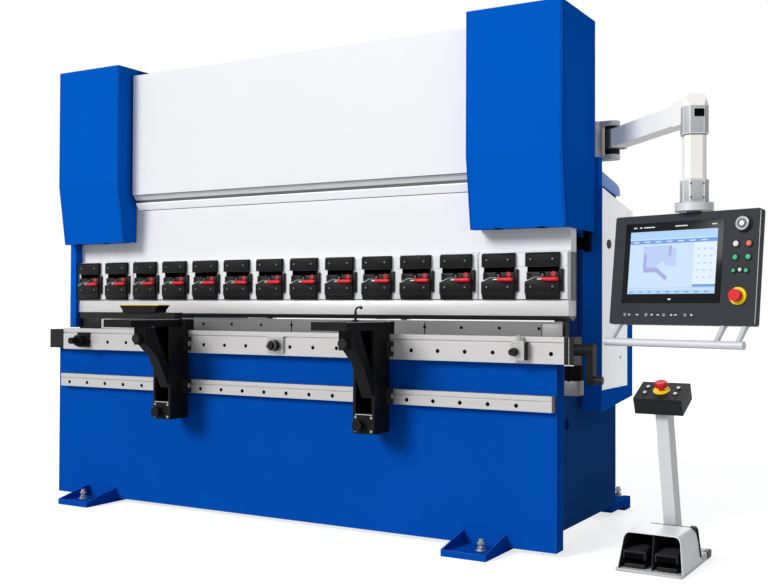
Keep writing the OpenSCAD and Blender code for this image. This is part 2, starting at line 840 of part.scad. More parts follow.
module clamp_block(x) {
    slab_x(x - clamp_w/2, x + clamp_w/2) clamp_profile();
    // side plate behind the clamp
    block(x + clamp_w/2 - 20, x + clamp_w/2 + 14, ram_y - 18, ram_y, clamp_z + 34, clamp_z + 160);
}

module clamp_blocks()
    color("#26282a")
        for (i = [0:clamp_count - 1])
            clamp_block(clamp_pos(i));

module clamp_screws()
    color("#3c3f42")
        for (i = [0:clamp_count - 1])
            for (side = [-1, 1], z = [clamp_z + 58, clamp_top - 32])
                rod_y(clamp_pos(i) + side*56, clamp_y - 3, clamp_y, z, 8);

module clamp_levers()
    color("crimson")
        for (i = [0:clamp_count - 1]) {
            rod_x(clamp_pos(i) + 2, clamp_pos(i) + 82, clamp_y - 11, clamp_z + 92, 10.5);
            rod_x(clamp_pos(i) - 22, clamp_pos(i) + 4, clamp_y - 11, clamp_z + 92, 6);
            rod_y(clamp_pos(i) - 16, clamp_y - 11, clamp_y, clamp_z + 88, 6);
            rod_y(clamp_pos(i) + 56, clamp_y - 1, clamp_y + 4, clamp_z + 122, 9);
        }

module punch()
    color("lightgray")
        slab_x(-ram_w/2, ram_w/2)
            polygon([
                [ram_y, punch_tip + punch_h], [ram_y, punch_tip + punch_bevel],
                [tool_y - punch_nose/2, punch_tip], [tool_y + punch_nose/2, punch_tip],
                [ram_back, punch_tip + punch_bevel], [ram_back, punch_tip + punch_h]
            ]);

module piston_rods()
    color("silver")
        both_sides()
            rod_z(cylinder_x, tool_y, ram_shoulder, cylinder_bottom + rod_engaged, rod_r);

// ---------------------------------------------------------------- support arms

arm_front = rail_y - arm_reach;
column_back = rail_y - slide_gap;
column_front = column_back - column_d;
column_top = arm_z - arm_top_t;
column_low = column_top - column_h;
column_x = 30;
carriage_x = column_x + column_w/2;
knob_x = 46;
knob_z = column_top - 58;
bracket_y = arm_front + 73;
bracket_t = 32;
bracket_h = 90;
left_column_shift = 40;
knob_shank_r = 8;

module arm_top() block(-arm_w/2, arm_w/2, arm_front, column_back, column_top, arm_z);

module arm_column() {
    block(column_x - column_w/2, column_x + column_w/2, column_back - 30, table_y - 4, rail_top + 1, arm_z);
    // hollow column: two cheeks, a back and a foot
    for (side = [-1, 1])
        block(column_x + side*(column_w/2 - 7) - 7, column_x + side*(column_w/2 - 7) + 7, column_front,
            column_back, column_low, column_top);
    block(column_x - column_w/2, column_x + column_w/2, column_back - 20, column_back, column_low,
        column_top);
    block(column_x - column_w/2, column_x + column_w/2, column_front, column_back, column_low,
        column_low + 92);
    // pads that ride on the lower rail
    block(column_x - column_w/2, column_x + column_w/2, column_back, lower_rail_y - slide_gap,
        lower_rail_z + 4, lower_rail_z + lower_rail_h - 4);
    // key in the upper rail's groove
    translate([column_x, 0, 0]) groove_key(column_w, column_back);
    // side carriages with their bolts
    for (z = [upper_rail_z + 50, lower_rail_z + 40]) {
        block(carriage_x, carriage_x + 22, column_back - 60, column_back, z - 36, z + 36);
        rod_x(carriage_x + 22, carriage_x + 28, column_back - 30, z, 11);
    }
    // diagonal brace and the bracket that carries the knob
    difference() {
        union() {
            slab_x(knob_x - 26, knob_x + 34)
                polygon([
                    [bracket_y + 12, column_top], [bracket_y + 67, column_top],
                    [column_front + 2, column_top - 215], [column_front + 2, column_top - 320],
                    [bracket_y + 92, column_top - 150], [bracket_y + 12, column_top - bracket_h + 5]
                ]);
            block(knob_x - 38, knob_x + 36, bracket_y, bracket_y + bracket_t, column_top - bracket_h,
                column_top);
        }
        rod_y(knob_x, bracket_y - 8, bracket_y + bracket_t + 1, knob_z, knob_shank_r + running_gap);
    }
    // lower clamping knob
    rod_y(10, column_front - 34, column_front, column_low + 40, 26);
}

module support_arm_left()
    color("#1e1f21")
        translate([arm_left_x, 0, 0]) {
            arm_top();
            translate([left_column_shift, 0, 0]) arm_column();
        }

module support_arm_right()
    color("#1e1f21")
        translate([arm_right_x, 0, 0]) {
            arm_top();
            arm_column();
        }

// Hand knob with its shank, in the arm's bracket
module arm_knob() {
    rod_y(knob_x, bracket_y - 32, bracket_y - slide_gap, knob_z, 23);
    rod_y(knob_x, bracket_y - 8, bracket_y + bracket_t - 2, knob_z, knob_shank_r);
}

module arm_knob_left() color("#151617") translate([arm_left_x + left_column_shift, 0, 0]) arm_knob();
module arm_knob_right() color("#151617") translate([arm_right_x, 0, 0]) arm_knob();

sheet_bar_x1 = arm_left_x + arm_w/2;
sheet_bar_y = rail_y - 40;
hook_r = 4.5;
hook_bend = 20;

module sheet_bar_left()
    color("#17181a")
        block(sheet_bar_x1 - sheet_bar_l, sheet_bar_x1, sheet_bar_y - 30, sheet_bar_y + 30,
            arm_z, arm_z + 35);

module sheet_tray_left()
    color("#17181a")
        translate([sheet_bar_x1 - 245, sheet_bar_y, arm_z + 35])
            rotate([90, 0, 0])
                translate([0, 0, -45])
                    linear_extrude(90)
                        polygon([[-118, 0], [118, 0], [118, 12], [145, 42], [-145, 42], [-118, 12]]);

// Gooseneck hook with a ball end
module sheet_hook_right()
    color("#17181a")
        translate([arm_right_x + 20, arm_front + 200, arm_z]) {
            rod_z(0, 0, 0, 10, 14);
            rod_z(0, 0, 0, 48, hook_r + 1.5);
            translate([hook_bend, 0, 48])
                rotate([90, 0, 0])
                    rotate([0, 0, 60])
                        rotate_extrude(angle = 125) translate([hook_bend, 0]) circle(hook_r);
            translate([hook_bend*1.5, 0, 48 + hook_bend*0.866]) sphere(8);
        }

// ---------------------------------------------------------------- rail stops

stop_left_x = upper_rail_x0 + 168;
stop_middle_x = 58;
stop_right_x = upper_rail_x1 - 202;
stop_t = 12;
stop_face = rail_y - slide_gap - stop_t;
stop_knob_z = upper_rail_z + 52;
key_play = 0.7;

// Key that runs in the upper rail's groove
module groove_key(w, y0)
    block(-w/2, w/2, y0, rail_y + 5, t_slot_z + key_play, t_slot_z + 6 - key_play);

module stop_plate(w) {
    block(-w/2, w/2, stop_face, rail_y - slide_gap, upper_rail_z + 14, rail_top - 22);
    groove_key(w, rail_y - slide_gap);
}

module stop_knob(r, length, tip_r, tip_l) {
    rod_y(0, stop_face - length, stop_face, stop_knob_z, r);
    rod_y(0, stop_face - length - tip_l, stop_face - length, stop_knob_z, tip_r);
}

module rail_stop_left()
    color("#2a2b2d")
        translate([stop_left_x, 0, 0]) {
            stop_plate(90);
            stop_knob(32, 46, 18, 50);
        }

module rail_stop_middle()
    color("silver")
        translate([stop_middle_x, 0, 0]) {
            stop_plate(100);
            stop_knob(27, 34, 15, 14);
        }

module rail_stop_right()
    color("silver")
        translate([stop_right_x, 0, 0]) {
            stop_plate(66);
            block(-33, 33, stop_face - 33, stop_face, upper_rail_z + 14, rail_top - 20);
            rod_y(-12, stop_face - 66, stop_face - 33, stop_knob_z, 15);
            rod_z(2, stop_face - 16, rail_top - 20, rail_top + 6, 10);
        }

// ---------------------------------------------------------------- back gauge

gauge_gap = 5;
gauge_y0 = table_back + bed_slab_d + gauge_gap;
gauge_rail_x = frame_in - 380;
gauge_back = 250;
gauge_beam_y = gauge_y0 + gauge_back;
gauge_rail_end = gauge_beam_y + 110 + gauge_travel + 80;
finger_tip_y = tool_y + 150;
finger_tip_t = 15;

module gauge_rails()
    color("gray")
        both_sides() {
            block(gauge_rail_x - 50, gauge_rail_x + 50, gauge_y0 - gauge_gap, gauge_rail_end, gauge_rail_z,
                gauge_rail_z + 70);
            // cross plate to the side frame
            block(gauge_rail_x + 50, frame_in, gauge_y0 + 180, gauge_y0 + 260, gauge_rail_z,
                gauge_rail_z + 40);
            block(gauge_rail_x + 50, frame_in, gauge_rail_end - 90, gauge_rail_end - 10, gauge_rail_z,
                gauge_rail_z + 40);
            // linear rail on top
            block(gauge_rail_x - 12, gauge_rail_x + 12, gauge_y0, gauge_rail_end - 5, gauge_rail_z + 70,
                gauge_rail_z + 90);
        }

gauge_beam_z = gauge_rail_z + 110;
gauge_beam_top = gauge_beam_z + 60;
gauge_beam_d = 100;
finger_x = 450;
guide_h = 18;

module gauge_beam()
    color("silver") {
        both_sides()
            difference() {
                block(gauge_rail_x - 45, gauge_rail_x + 45, gauge_beam_y - 10, gauge_beam_y + 110,
                    gauge_rail_z + 70 + slide_gap, gauge_beam_z);
                block(gauge_rail_x - 12 - slide_gap, gauge_rail_x + 12 + slide_gap, gauge_beam_y - 11,
                    gauge_beam_y + 111, gauge_rail_z + 69, gauge_rail_z + 90 + slide_gap);
            }
        block(-gauge_rail_x - 100, gauge_rail_x + 100, gauge_beam_y, gauge_beam_y + gauge_beam_d,
            gauge_beam_z, gauge_beam_top);
        block(-gauge_rail_x - 60, gauge_rail_x + 60, gauge_beam_y + 38, gauge_beam_y + 62,
            gauge_beam_top, gauge_beam_top + guide_h);
    }

module gauge_finger(x)
    color("dimgray")
        translate([x, 0, 0]) {
            difference() {
                block(-45, 45, gauge_beam_y, gauge_beam_y + gauge_beam_d, gauge_beam_top + slide_gap,
                    gauge_beam_top + 60);
                block(-46, 46, gauge_beam_y + 38 - slide_gap, gauge_beam_y + 62 + slide_gap,
                    gauge_beam_top - 1, gauge_beam_top + guide_h + slide_gap);
            }
            block(-20, 20, gauge_beam_y + 30, gauge_beam_y + 70, gauge_beam_top + 60, die_top + 2);
            block(-20, 20, finger_tip_y, gauge_beam_y + 70, die_top + 2, die_top + 32);
            block(-30, 30, finger_tip_y - finger_tip_t, finger_tip_y, die_top + 2, die_top + 42);
        }

module gauge_finger_left() gauge_finger(-finger_x);
module gauge_finger_right() gauge_finger(finger_x);

// ---------------------------------------------------------------- pendant

pivot_r = 16;
ear_t = 20;
ear_r = 38;
hub_r = 36;
hub_half = 75;
ear_low = arm_beam_z - hub_half;
ear_high = arm_beam_z + hub_half;
column_r = 32;

module pendant_bracket()
    color("silver")
        difference() {
            union() {
                block(frame_x, frame_x + 14, pivot_y - 60, pivot_y + 60, ear_low - ear_t, ear_high + ear_t);
                // rounded column that joins the two ears
                rod_z(frame_x + column_r, pivot_y - 20, ear_low - ear_t, ear_high + ear_t, column_r);
                block(frame_x, frame_x + 2*column_r, pivot_y - 20, pivot_y + 40, ear_low - ear_t,
                    ear_high + ear_t);
                for (z = [ear_low - ear_t, ear_high]) {
                    block(frame_x, pivot_x, pivot_y - ear_r, pivot_y + ear_r, z, z + ear_t);
                    rod_z(pivot_x, pivot_y, z, z + ear_t, ear_r);
                }
            }
            rod_z(pivot_x, pivot_y, 0, frame_h, pivot_r + running_gap);
        }

elbow_turn = 26;
elbow_w = 106;
elbow_cap_h = 51;
coupling_w = drop_w + 18;

module chamfered_square(w, c)
    polygon([
        [-w/2, c - w/2], [c - w/2, -w/2], [w/2 - c, -w/2], [w/2, c - w/2],
        [w/2, w/2 - c], [w/2 - c, w/2], [c - w/2, w/2], [-w/2, w/2 - c]
    ]);

// Upright length of chamfered square tube on the drop axis
module drop_prism(z0, z1, w)
    translate([elbow_x, elbow_y, z0])
        rotate([0, 0, elbow_turn])
            linear_extrude(z1 - z0)
                chamfered_square(w, w*0.22);

// Elbow's top, which slopes in on all four sides
module elbow_cap()
    translate([elbow_x, elbow_y, arm_beam_z + 20])
        rotate([0, 0, elbow_turn])
            intersection() {
                linear_extrude(elbow_cap_h) chamfered_square(elbow_w, elbow_w*0.22);
                elbow_wedge();
                rotate([0, 0, 90]) elbow_wedge();
            }

module elbow_wedge()
    rotate([90, 0, 0])
        linear_extrude(elbow_w + 2, center = true)
            polygon([
                [-elbow_w/2, 0], [elbow_w/2, 0],
                [elbow_w*0.3, elbow_cap_h], [-elbow_w*0.3, elbow_cap_h]
            ]);

module pendant_arm()
    color("gainsboro") {
        // hub and pin between the bracket's ears
        rod_z(pivot_x, pivot_y, ear_low + slide_gap, ear_high - slide_gap, hub_r);
        rod_z(pivot_x, pivot_y, ear_low - ear_t, ear_high + ear_t, pivot_r);
        translate([pivot_x, pivot_y, arm_beam_z])
            rotate([0, 0, pendant_angle]) {
                translate([20, -40, -arm_beam_h/2])
                    cube([pendant_l - 20, 80, arm_beam_h]);
                // collar where the beam enters the elbow
                translate([pendant_l - 105, -47, -arm_beam_h/2 - 8])
                    cube([105, 94, arm_beam_h + 16]);
            }
        elbow_cap();
        // elbow, drop tube and coupling
        difference() {
            union() {
                drop_prism(arm_beam_z - 100, arm_beam_z + 20.5, elbow_w);
                drop_prism(coupling_z + coupling_h - 1, arm_beam_z - 90, drop_w);
                drop_prism(coupling_z, coupling_z + coupling_h, coupling_w);
            }
            rod_z(elbow_x, elbow_y, coupling_z - 1, coupling_z + 60, 22 + running_gap);
        }
    }

// Places a piece in the control panel's own axes: X across, Y back, Z up its face
module on_panel()
    translate([elbow_x, elbow_y, panel_z])
        rotate([0, 0, panel_yaw])
            translate([panel_shift, -panel_ahead, 0])
                rotate([-panel_tilt, 0, 0])
                    children();

// An outline on the panel's face, reaching from y0 back to y1
module on_face(y0, y1)
    translate([0, y1, 0])
        rotate([90, 0, 0])
            linear_extrude(y1 - y0)
                children();

module rounded_rect(w, h, r)
    union() {
        square([w - 2*r, h], center = true);
        square([w, h - 2*r], center = true);
        for (x = [-1, 1], y = [-1, 1])
            translate([x*(w/2 - r), y*(h/2 - r)]) circle(r);
    }

screen_x = -50;
screen_z = 28;
bezel_w = 470;
bezel_h = 350;
button_x = 272;

module control_panel()
    color("#4a4c4f")
        difference() {
            union() {
                on_panel() on_face(0, panel_case_t) rounded_rect(panel_w, panel_h, 10);
                on_panel() on_face(panel_case_t - 2, panel_case_t + 75) rounded_rect(430, 380, 14);
                rod_z(elbow_x, elbow_y, panel_z + 170, disc_z, 30);
                rod_z(elbow_x, elbow_y, disc_z, disc_z + disc_t, 79);
                rod_z(elbow_x, elbow_y, disc_z + disc_t - 1, disc_z + disc_t + 55, 22);
            }
            on_panel() on_face(-1, 8)
                translate([screen_x, screen_z]) square([bezel_w, bezel_h], center = true);
            on_panel() rod_y(button_x, -1, 30, 175, 12 + running_gap);
            on_panel() rod_y(button_x - 8, -1, 34, -118, 14 + running_gap);
        }

module screen()
    color("#15181b")
        on_panel() on_face(-1, 7.7)
            translate([screen_x, screen_z]) square([bezel_w - 0.6, bezel_h - 0.6], center = true);

handle_l = 648;
handle_drop = 320;

module panel_handle()
    color("silver")
        on_panel() {
            rod_x(-handle_l/2, handle_l/2, -45, -handle_drop, 17);
            for (x = [-handle_l/2 + 30, 200, handle_l/2 - 30])
                translate([x - 9, 0, 0])
                    rotate([90, 0, 90])
                        linear_extrude(18)
                            polygon([
                                [4, -panel_h/2], [30, -panel_h/2],
                                [-38, -handle_drop], [-58, -handle_drop]
                            ]);
        }

module panel_estop()
    color("red")
        on_panel() {
            rod_y(button_x - 8, -38, -16, -118, 25);
            rod_y(button_x - 8, -16, 14, -118, 14);
        }

module panel_selector()
    color("silver")
        on_panel() {
            rod_y(button_x, -22, -slide_gap, 175, 28);
            rod_y(button_x, -1, 20, 175, 12);
        }

module panel_buttons()
    color("white")
        on_panel() {
            // ring round the emergency stop
            difference() {
                rod_y(button_x - 8, -10, 0, -118, 36);
                rod_y(button_x - 8, -11, 1, -118, 17);
            }
            for (p = [[-30, 95], [26, 95], [-30, 40], [26, 40]])
                rod_y(button_x + p[0], -9, 0, p[1], 13);
            for (x = [-34, -6, 20])
                rod_y(button_x + x, -7, 0, -15, 9);
        }

// ---------------------------------------------------------------- pedal station

module at_pedals()
    translate([pedal_x, pedal_y, 0])
        rotate([0, 0, pedal_turn])
            children();

base_t = 25;
shroud_y = -pedal_d/2 + 2;
shroud_back = shroud_y + 315;
shroud_front_lean = 33;
shroud_back_lean = 63;
shroud_w = pedal_w - 4;
shroud_taper = 20;
shroud_corner = 18;
shroud_wall = 5;
pedal_axle_y = shroud_back - 45;
pedal_axle_r = 8;
pedal_axle_z = base_t + 22;
pedal_tread_w = 96;

// Half the shroud's width at a given height
function shroud_half(z) = shroud_w/2 - shroud_taper*(z - base_t)/(shroud_top - base_t);

compartment_w = shroud_half(pedal_axle_z + pedal_axle_r) - 1.5*shroud_wall;

module pedal_base()
    color("lightgray")
        at_pedals()
            difference() {
                block(-pedal_w/2, pedal_w/2, -pedal_d/2, pedal_d/2, 0, base_t);
                for (x = [-pedal_w/2 + 30, pedal_w/2 - 30])
                    rod_z(x, pedal_d/2 - 30, -1, base_t + 1, 6);
            }

// Side view of the shroud; cut is how far its inside lies within it
module shroud_side(cut)
    polygon([
        [shroud_y - cut, base_t - cut], [shroud_back - cut, base_t - cut],
        [shroud_back - shroud_back_lean - cut, shroud_top - cut],
        [shroud_y + (cut > 0 ? -cut : shroud_front_lean), shroud_top - cut]
    ]);

module shroud_front()
    polygon([
        [-shroud_half(base_t), base_t], [shroud_half(base_t), base_t],
        [shroud_half(shroud_top - shroud_corner), shroud_top - shroud_corner],
        [shroud_half(shroud_top) - shroud_corner, shroud_top],
        [shroud_corner - shroud_half(shroud_top), shroud_top],
        [-shroud_half(shroud_top - shroud_corner), shroud_top - shroud_corner]
    ]);

// Front view of the right compartment
module compartment_front()
    polygon([
        [shroud_wall/2, base_t - 1], [shroud_half(base_t) - shroud_wall, base_t - 1],
        [shroud_half(shroud_top - shroud_corner) - shroud_wall, shroud_top - shroud_corner],
        [shroud_half(shroud_top) - shroud_corner, shroud_top - shroud_wall],
        [shroud_wall/2, shroud_top - shroud_wall]
    ]);

// An outline drawn in X and Z, extruded along Y from y0 to y1
module slab_y(y0, y1)
    translate([0, y1, 0])
        rotate([90, 0, 0])
            linear_extrude(y1 - y0)
                children();

module pedal_shroud()
    color("whitesmoke")
        at_pedals()
            difference() {
                intersection() {
                    slab_x(-shroud_w/2 - 1, shroud_w/2 + 1) shroud_side(0);
                    slab_y(shroud_y - 1, shroud_back + 1) shroud_front();
                }
                both_sides()
                    intersection() {
                        slab_x(0, shroud_w/2) shroud_side(shroud_wall);
                        slab_y(shroud_y - 6, shroud_back) compartment_front();
                    }
            }

module pedal(side)
    color("#161718")
        at_pedals()
            translate([side*(compartment_w + shroud_wall)/2, 0, 0]) {
                rod_x(-compartment_w/2 + slide_gap, compartment_w/2 - slide_gap, pedal_axle_y,
                    pedal_axle_z, pedal_axle_r);
                slab_x(-pedal_tread_w/2, pedal_tread_w/2)
                    polygon([
                        [shroud_y + 24, base_t + 32], [shroud_y + 24, base_t + 60],
                        [shroud_y + 130, base_t + 70], [pedal_axle_y + 6, base_t + 30],
                        [pedal_axle_y + 6, base_t + 16], [pedal_axle_y - 20, base_t + 16]
                    ]);
            }

module pedal_left() pedal(-1);
module pedal_right() pedal(1);

post_y = 162;
post_foot_z = base_t + 7;
box_tilt = 9;
box_h = 75;

module pedal_post()
    color("whitesmoke")
        at_pedals() {
            block(-50, 50, post_y - 60, post_y + 58, base_t, base_t + 8);
            difference() {
                post_tube(0);
                block(-60, 60, post_y - 80, post_y + 80, -60, base_t + 1);
            }
        }

// The leaning post, grown by a gap where it fits inside the box's socket
module post_tube(gap)
    translate([0, post_y, post_foot_z])
        rotate([post_lean, 0, 0])
            block(-27 - gap, 27 + gap, -44 - gap, 44 + gap, -20, post_h + gap);

module on_post_box()
    at_pedals()
        translate([0, post_y, post_foot_z])
            rotate([post_lean, 0, 0])
                translate([0, -3, post_h - 13])
                    rotate([box_tilt, 0, 0])
                        children();

module pedal_box()
    color("#232527")
        difference() {
            union() {
                on_post_box() block(-104, 104, -79, 79, 0, box_h);
                // raised buttons
                on_post_box()
                    for (x = [-66, 66], y = [-27, 27])
                        rod_z(x, y, box_h - 1, box_h + 4, 8);
                on_post_box()
                    rod_z(0, 0, box_h - 1, box_h + 5, 36);
            }
            on_post_box() rod_z(0, 0, 35, box_h + 6, 12 + running_gap);
            at_pedals() post_tube(0.1);
        }

module pedal_estop()
    color("red")
        on_post_box() {
            rod_z(0, 0, box_h + 18, box_h + 39, 28);
            rod_z(0, 0, box_h + 9, box_h + 19, 21);
            rod_z(0, 0, 40, box_h + 10, 12);
        }

side_frames();
table_front_plate();
bed_slab();
cross_beams();
floor_feet();
levelling_screws();
cylinder_covers();
cylinders();
guide_strips();
die_holder();
lower_die();
upper_rail();
lower_rail();
rail_end_blocks();
crowning_drive();
hydraulic_unit();
electrical_cabinet();
side_guards();
pendant_bracket();
gauge_rails();
pedal_base();
pedal_shroud();
pedal_post();
pedal_box();
pedal_estop();
ram();
ram_panel();
clamp_bar();
clamp_blocks();
clamp_screws();
clamp_levers();
punch();
piston_rods();
crank();
crank_grip();
support_arm_left();
support_arm_right();
sheet_bar_left();
sheet_tray_left();
sheet_hook_right();
arm_knob_left();
arm_knob_right();
rail_stop_left();
rail_stop_middle();
rail_stop_right();
gauge_beam();
gauge_finger_left();
gauge_finger_right();
pendant_arm();
control_panel();
screen();
panel_handle();
panel_estop();
panel_selector();
panel_buttons();
pedal_left();
pedal_right();
guard_door_left();
guard_door_right();
cabinet_door();
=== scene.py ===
"""Studio scene of the cnc press brake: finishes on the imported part, and the small details it carries."""

import json
import math
from types import SimpleNamespace

import bmesh
import bpy
from mathutils import Matrix, Vector


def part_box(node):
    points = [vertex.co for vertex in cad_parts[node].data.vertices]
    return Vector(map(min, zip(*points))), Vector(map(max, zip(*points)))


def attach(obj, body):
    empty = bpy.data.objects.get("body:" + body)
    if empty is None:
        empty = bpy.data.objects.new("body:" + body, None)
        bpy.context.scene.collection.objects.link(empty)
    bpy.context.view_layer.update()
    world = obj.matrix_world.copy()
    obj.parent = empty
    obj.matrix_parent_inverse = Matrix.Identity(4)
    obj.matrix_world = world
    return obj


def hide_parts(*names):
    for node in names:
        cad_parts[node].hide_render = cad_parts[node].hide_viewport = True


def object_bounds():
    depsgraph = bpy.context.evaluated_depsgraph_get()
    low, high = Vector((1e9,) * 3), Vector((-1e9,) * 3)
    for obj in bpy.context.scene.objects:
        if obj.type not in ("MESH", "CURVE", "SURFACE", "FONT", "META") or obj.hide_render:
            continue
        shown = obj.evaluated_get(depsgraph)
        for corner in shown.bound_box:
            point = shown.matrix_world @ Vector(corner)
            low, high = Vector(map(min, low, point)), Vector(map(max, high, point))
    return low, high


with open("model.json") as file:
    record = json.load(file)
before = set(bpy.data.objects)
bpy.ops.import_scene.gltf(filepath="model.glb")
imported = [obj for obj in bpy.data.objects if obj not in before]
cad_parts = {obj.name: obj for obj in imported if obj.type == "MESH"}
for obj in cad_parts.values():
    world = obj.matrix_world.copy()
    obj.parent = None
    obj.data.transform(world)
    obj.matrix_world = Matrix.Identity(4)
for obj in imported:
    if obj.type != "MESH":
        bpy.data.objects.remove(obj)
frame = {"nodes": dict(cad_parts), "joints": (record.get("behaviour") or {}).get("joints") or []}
cad_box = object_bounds()
nodes = frame["nodes"]
joints = {joint["name"]: joint for joint in frame["joints"]}


def part(name):
    """The place of a CAD node: x0, x1, y0, y1, z0 and z1, and x, y and z with both ends."""
    low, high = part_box(name)
    return SimpleNamespace(x0=low.x, x1=high.x, y0=low.y, y1=high.y, z0=low.z, z1=high.z,
                           x=(low.x, high.x), y=(low.y, high.y), z=(low.z, high.z))


# ---------------------------------------------------------------- finishes

EVEN, ALONG_X = (1, 1, 1), (0.02, 1, 1)      # how the grain is drawn out on each axis
EDGE_GLINT = (0.75, 0.8, 0.9, 1)             # colour of the light that edges catch


def wire(tree, node, inputs):
    """Sets a node's inputs, and links those that are given another node's socket."""
    for name, value in inputs.items():
        if isinstance(value, bpy.types.NodeSocket):
            tree.links.new(value, node.inputs[name])
        else:
            node.inputs[name].default_value = value


def add(tree, kind, inputs, **settings):
    """A new shader node with its settings and inputs."""
    node = tree.nodes.new("ShaderNode" + kind)
    for name, value in settings.items():
        setattr(node, name, value)
    wire(tree, node, inputs)
    return node


def linear(value):
    """One channel of a colour, given as 0 to 255, as linear light."""
    value /= 255
    return value / 12.92 if value < 0.04 else ((value + 0.055) / 1.055) ** 2.4


def noise(tree, place, scale, detail):
    """A noise texture read through the given coordinates."""
    return add(tree, "TexNoise", {"Vector": place, "Scale": scale, "Detail": detail}).outputs["Fac"]


def ranged(tree, source, low, high, start=0.3, end=0.7):
    """The source's values from start to end, spread from low to high."""
    inputs = {"Value": source, "From Min": start, "From Max": end, "To Min": low, "To Max": high}
    return add(tree, "MapRange", inputs).outputs["Result"]


def blended(tree, factor, a, b):
    """Colour a where the factor is 0, and colour b where it is 1."""
    return add(tree, "Mix", {"Factor": factor, "A": a, "B": b}, data_type="RGBA").outputs["Result"]


def finish(name, slot, colour, roughness, metallic=0.0, specular=0.3, mottle=0.05, grain=900.0, bump=0.04,
           streaks=EVEN, rounding=0.002, edge_light=0.0, glow=0.0):
    """A material of the record's slot: mottled, finely grained, with uneven gloss, edges lightened as a
    painted highlight, and a glow that is painted light except on the lit screen.
    """
    material = bpy.data.materials.new(name)
    material.use_nodes = True
    material["slot"] = slot
    tree = material.node_tree
    shader = tree.nodes["Principled BSDF"]
    colour = [linear(channel) for channel in colour]
    coordinates = add(tree, "TexCoord", {}).outputs["Object"]
    place = add(tree, "Mapping", {"Vector": coordinates, "Scale": streaks}).outputs["Vector"]
    broad, fine = noise(tree, place, 2.3, 3.0), noise(tree, place, grain, 2.0)
    broad_share, fine_share = (0.6, 0.4) if streaks == EVEN else (0.25, 0.75)
    shares = {0: broad, 1: broad_share, 2: ranged(tree, fine, 0.0, fine_share, 0, 1)}
    both = add(tree, "Math", shares, operation="MULTIPLY_ADD").outputs["Value"]
    shades = [[channel * factor for channel in colour] + [1.0] for factor in (1 - mottle, 1 + mottle)]
    tint = blended(tree, ranged(tree, both, 0, 1), *shades)
    rounded = add(tree, "Bevel", {"Radius": rounding}, samples=4).outputs["Normal"]
    # edge_light lightens the colour where edges are rounded off: a painted highlight
    if edge_light:
        tint = lit_edges(tree, rounded, tint, colour, edge_light)
    gloss = ranged(tree, broad, max(0.04, roughness - 0.05), min(1.0, roughness + 0.07))
    relief = add(tree, "Bump", {"Strength": bump, "Distance": 0.001, "Height": fine, "Normal": rounded})
    wire(tree, shader, {"Base Color": tint, "Metallic": metallic, "Specular IOR Level": specular,
                        "Roughness": gloss, "Normal": relief.outputs["Normal"]})
    # the glow is painted light, except on the lit screen, which does give light
    if glow:
        wire(tree, shader, {"Emission Color": tint, "Emission Strength": glow})
    return material


def lit_edges(tree, rounded, tint, colour, amount):
    """The tint, lighter where a sharp edge is rounded off, as paint and metal catch the light there."""
    flat = add(tree, "NewGeometry", {}).outputs["Normal"]
    turned = add(tree, "VectorMath", {0: rounded, 1: flat}, operation="DOT_PRODUCT").outputs["Value"]
    lighter = [0.5 * channel + 0.5 * glint for channel, glint in zip([*colour, 1.0], EDGE_GLINT)]
    return blended(tree, ranged(tree, turned, amount, 0.0, 0.75, 0.99), tint, lighter)


def blue(name, colour, roughness=0.45, **looks):
    """Blue enamel without much gloss."""
    return finish(name, "blue_paint", colour, roughness, specular=0.0, **looks)


def white(name, colour, roughness=0.4, **looks):
    """White enamel whose edges catch the light."""
    return finish(name, "white_paint", colour, roughness, specular=0.2, **looks)


def ground(name, slot, colour, roughness, bump=0.12, **looks):
    """Metal ground or milled along x."""
    return finish(name, slot, colour, roughness, bump=bump, streaks=ALONG_X, grain=420, **looks)


def button(name, colour, roughness=0.34, **looks):
    """Coloured plastic of a button or ring."""
    return finish(name, "white_plastic", colour, roughness, **looks)


def moulded(name, colour, specular=0.15, mottle=0.14, **looks):
    """Black plastic with a fine moulded grain."""
    return finish(name, "black_plastic", colour, 0.5, specular=specular, mottle=mottle, grain=1200,
                  bump=0.12, **looks)


def lit(name, colour):
    """A patch of the lit screen."""
    return finish(name, "screen_glass", colour, 0.25, specular=0.05, mottle=0.02, bump=0.0, rounding=0.0001,
                  glow=0.05)


BLUE = blue("blue_enamel", (4, 94, 203), edge_light=0.3, rounding=0.004, mottle=0.04)
# the covers' blue enamel painted darker for the table front and feet: painted shade, as they sit lower,
# further from the light
BLUE_TABLE_SHADED = blue("blue_enamel_table_painted_shade", (4, 80, 178), edge_light=0.35, rounding=0.004, mottle=0.04)
# the blue enamel painted darker and greyer for the side frames: painted shade, as their faces lie in the
# covers' shadow
BLUE_FRAME_SHADED = blue("blue_enamel_frame_painted_shade", (30, 74, 140), 0.5, edge_light=0.2)
BLUE_DEEP = blue("blue_enamel_inside", (8, 40, 104), 0.55)
# the blue enamel painted pale, with a glow: a painted reflection of light on the frames' shoulders
BLUE_PAINTED_SHEEN = finish("blue_enamel_painted_sheen", "blue_paint", (128, 160, 226), 0.4, specular=0.1, glow=0.12)
WHITE = white("white_enamel", (246, 247, 249), edge_light=0.2, rounding=0.003, mottle=0.015)
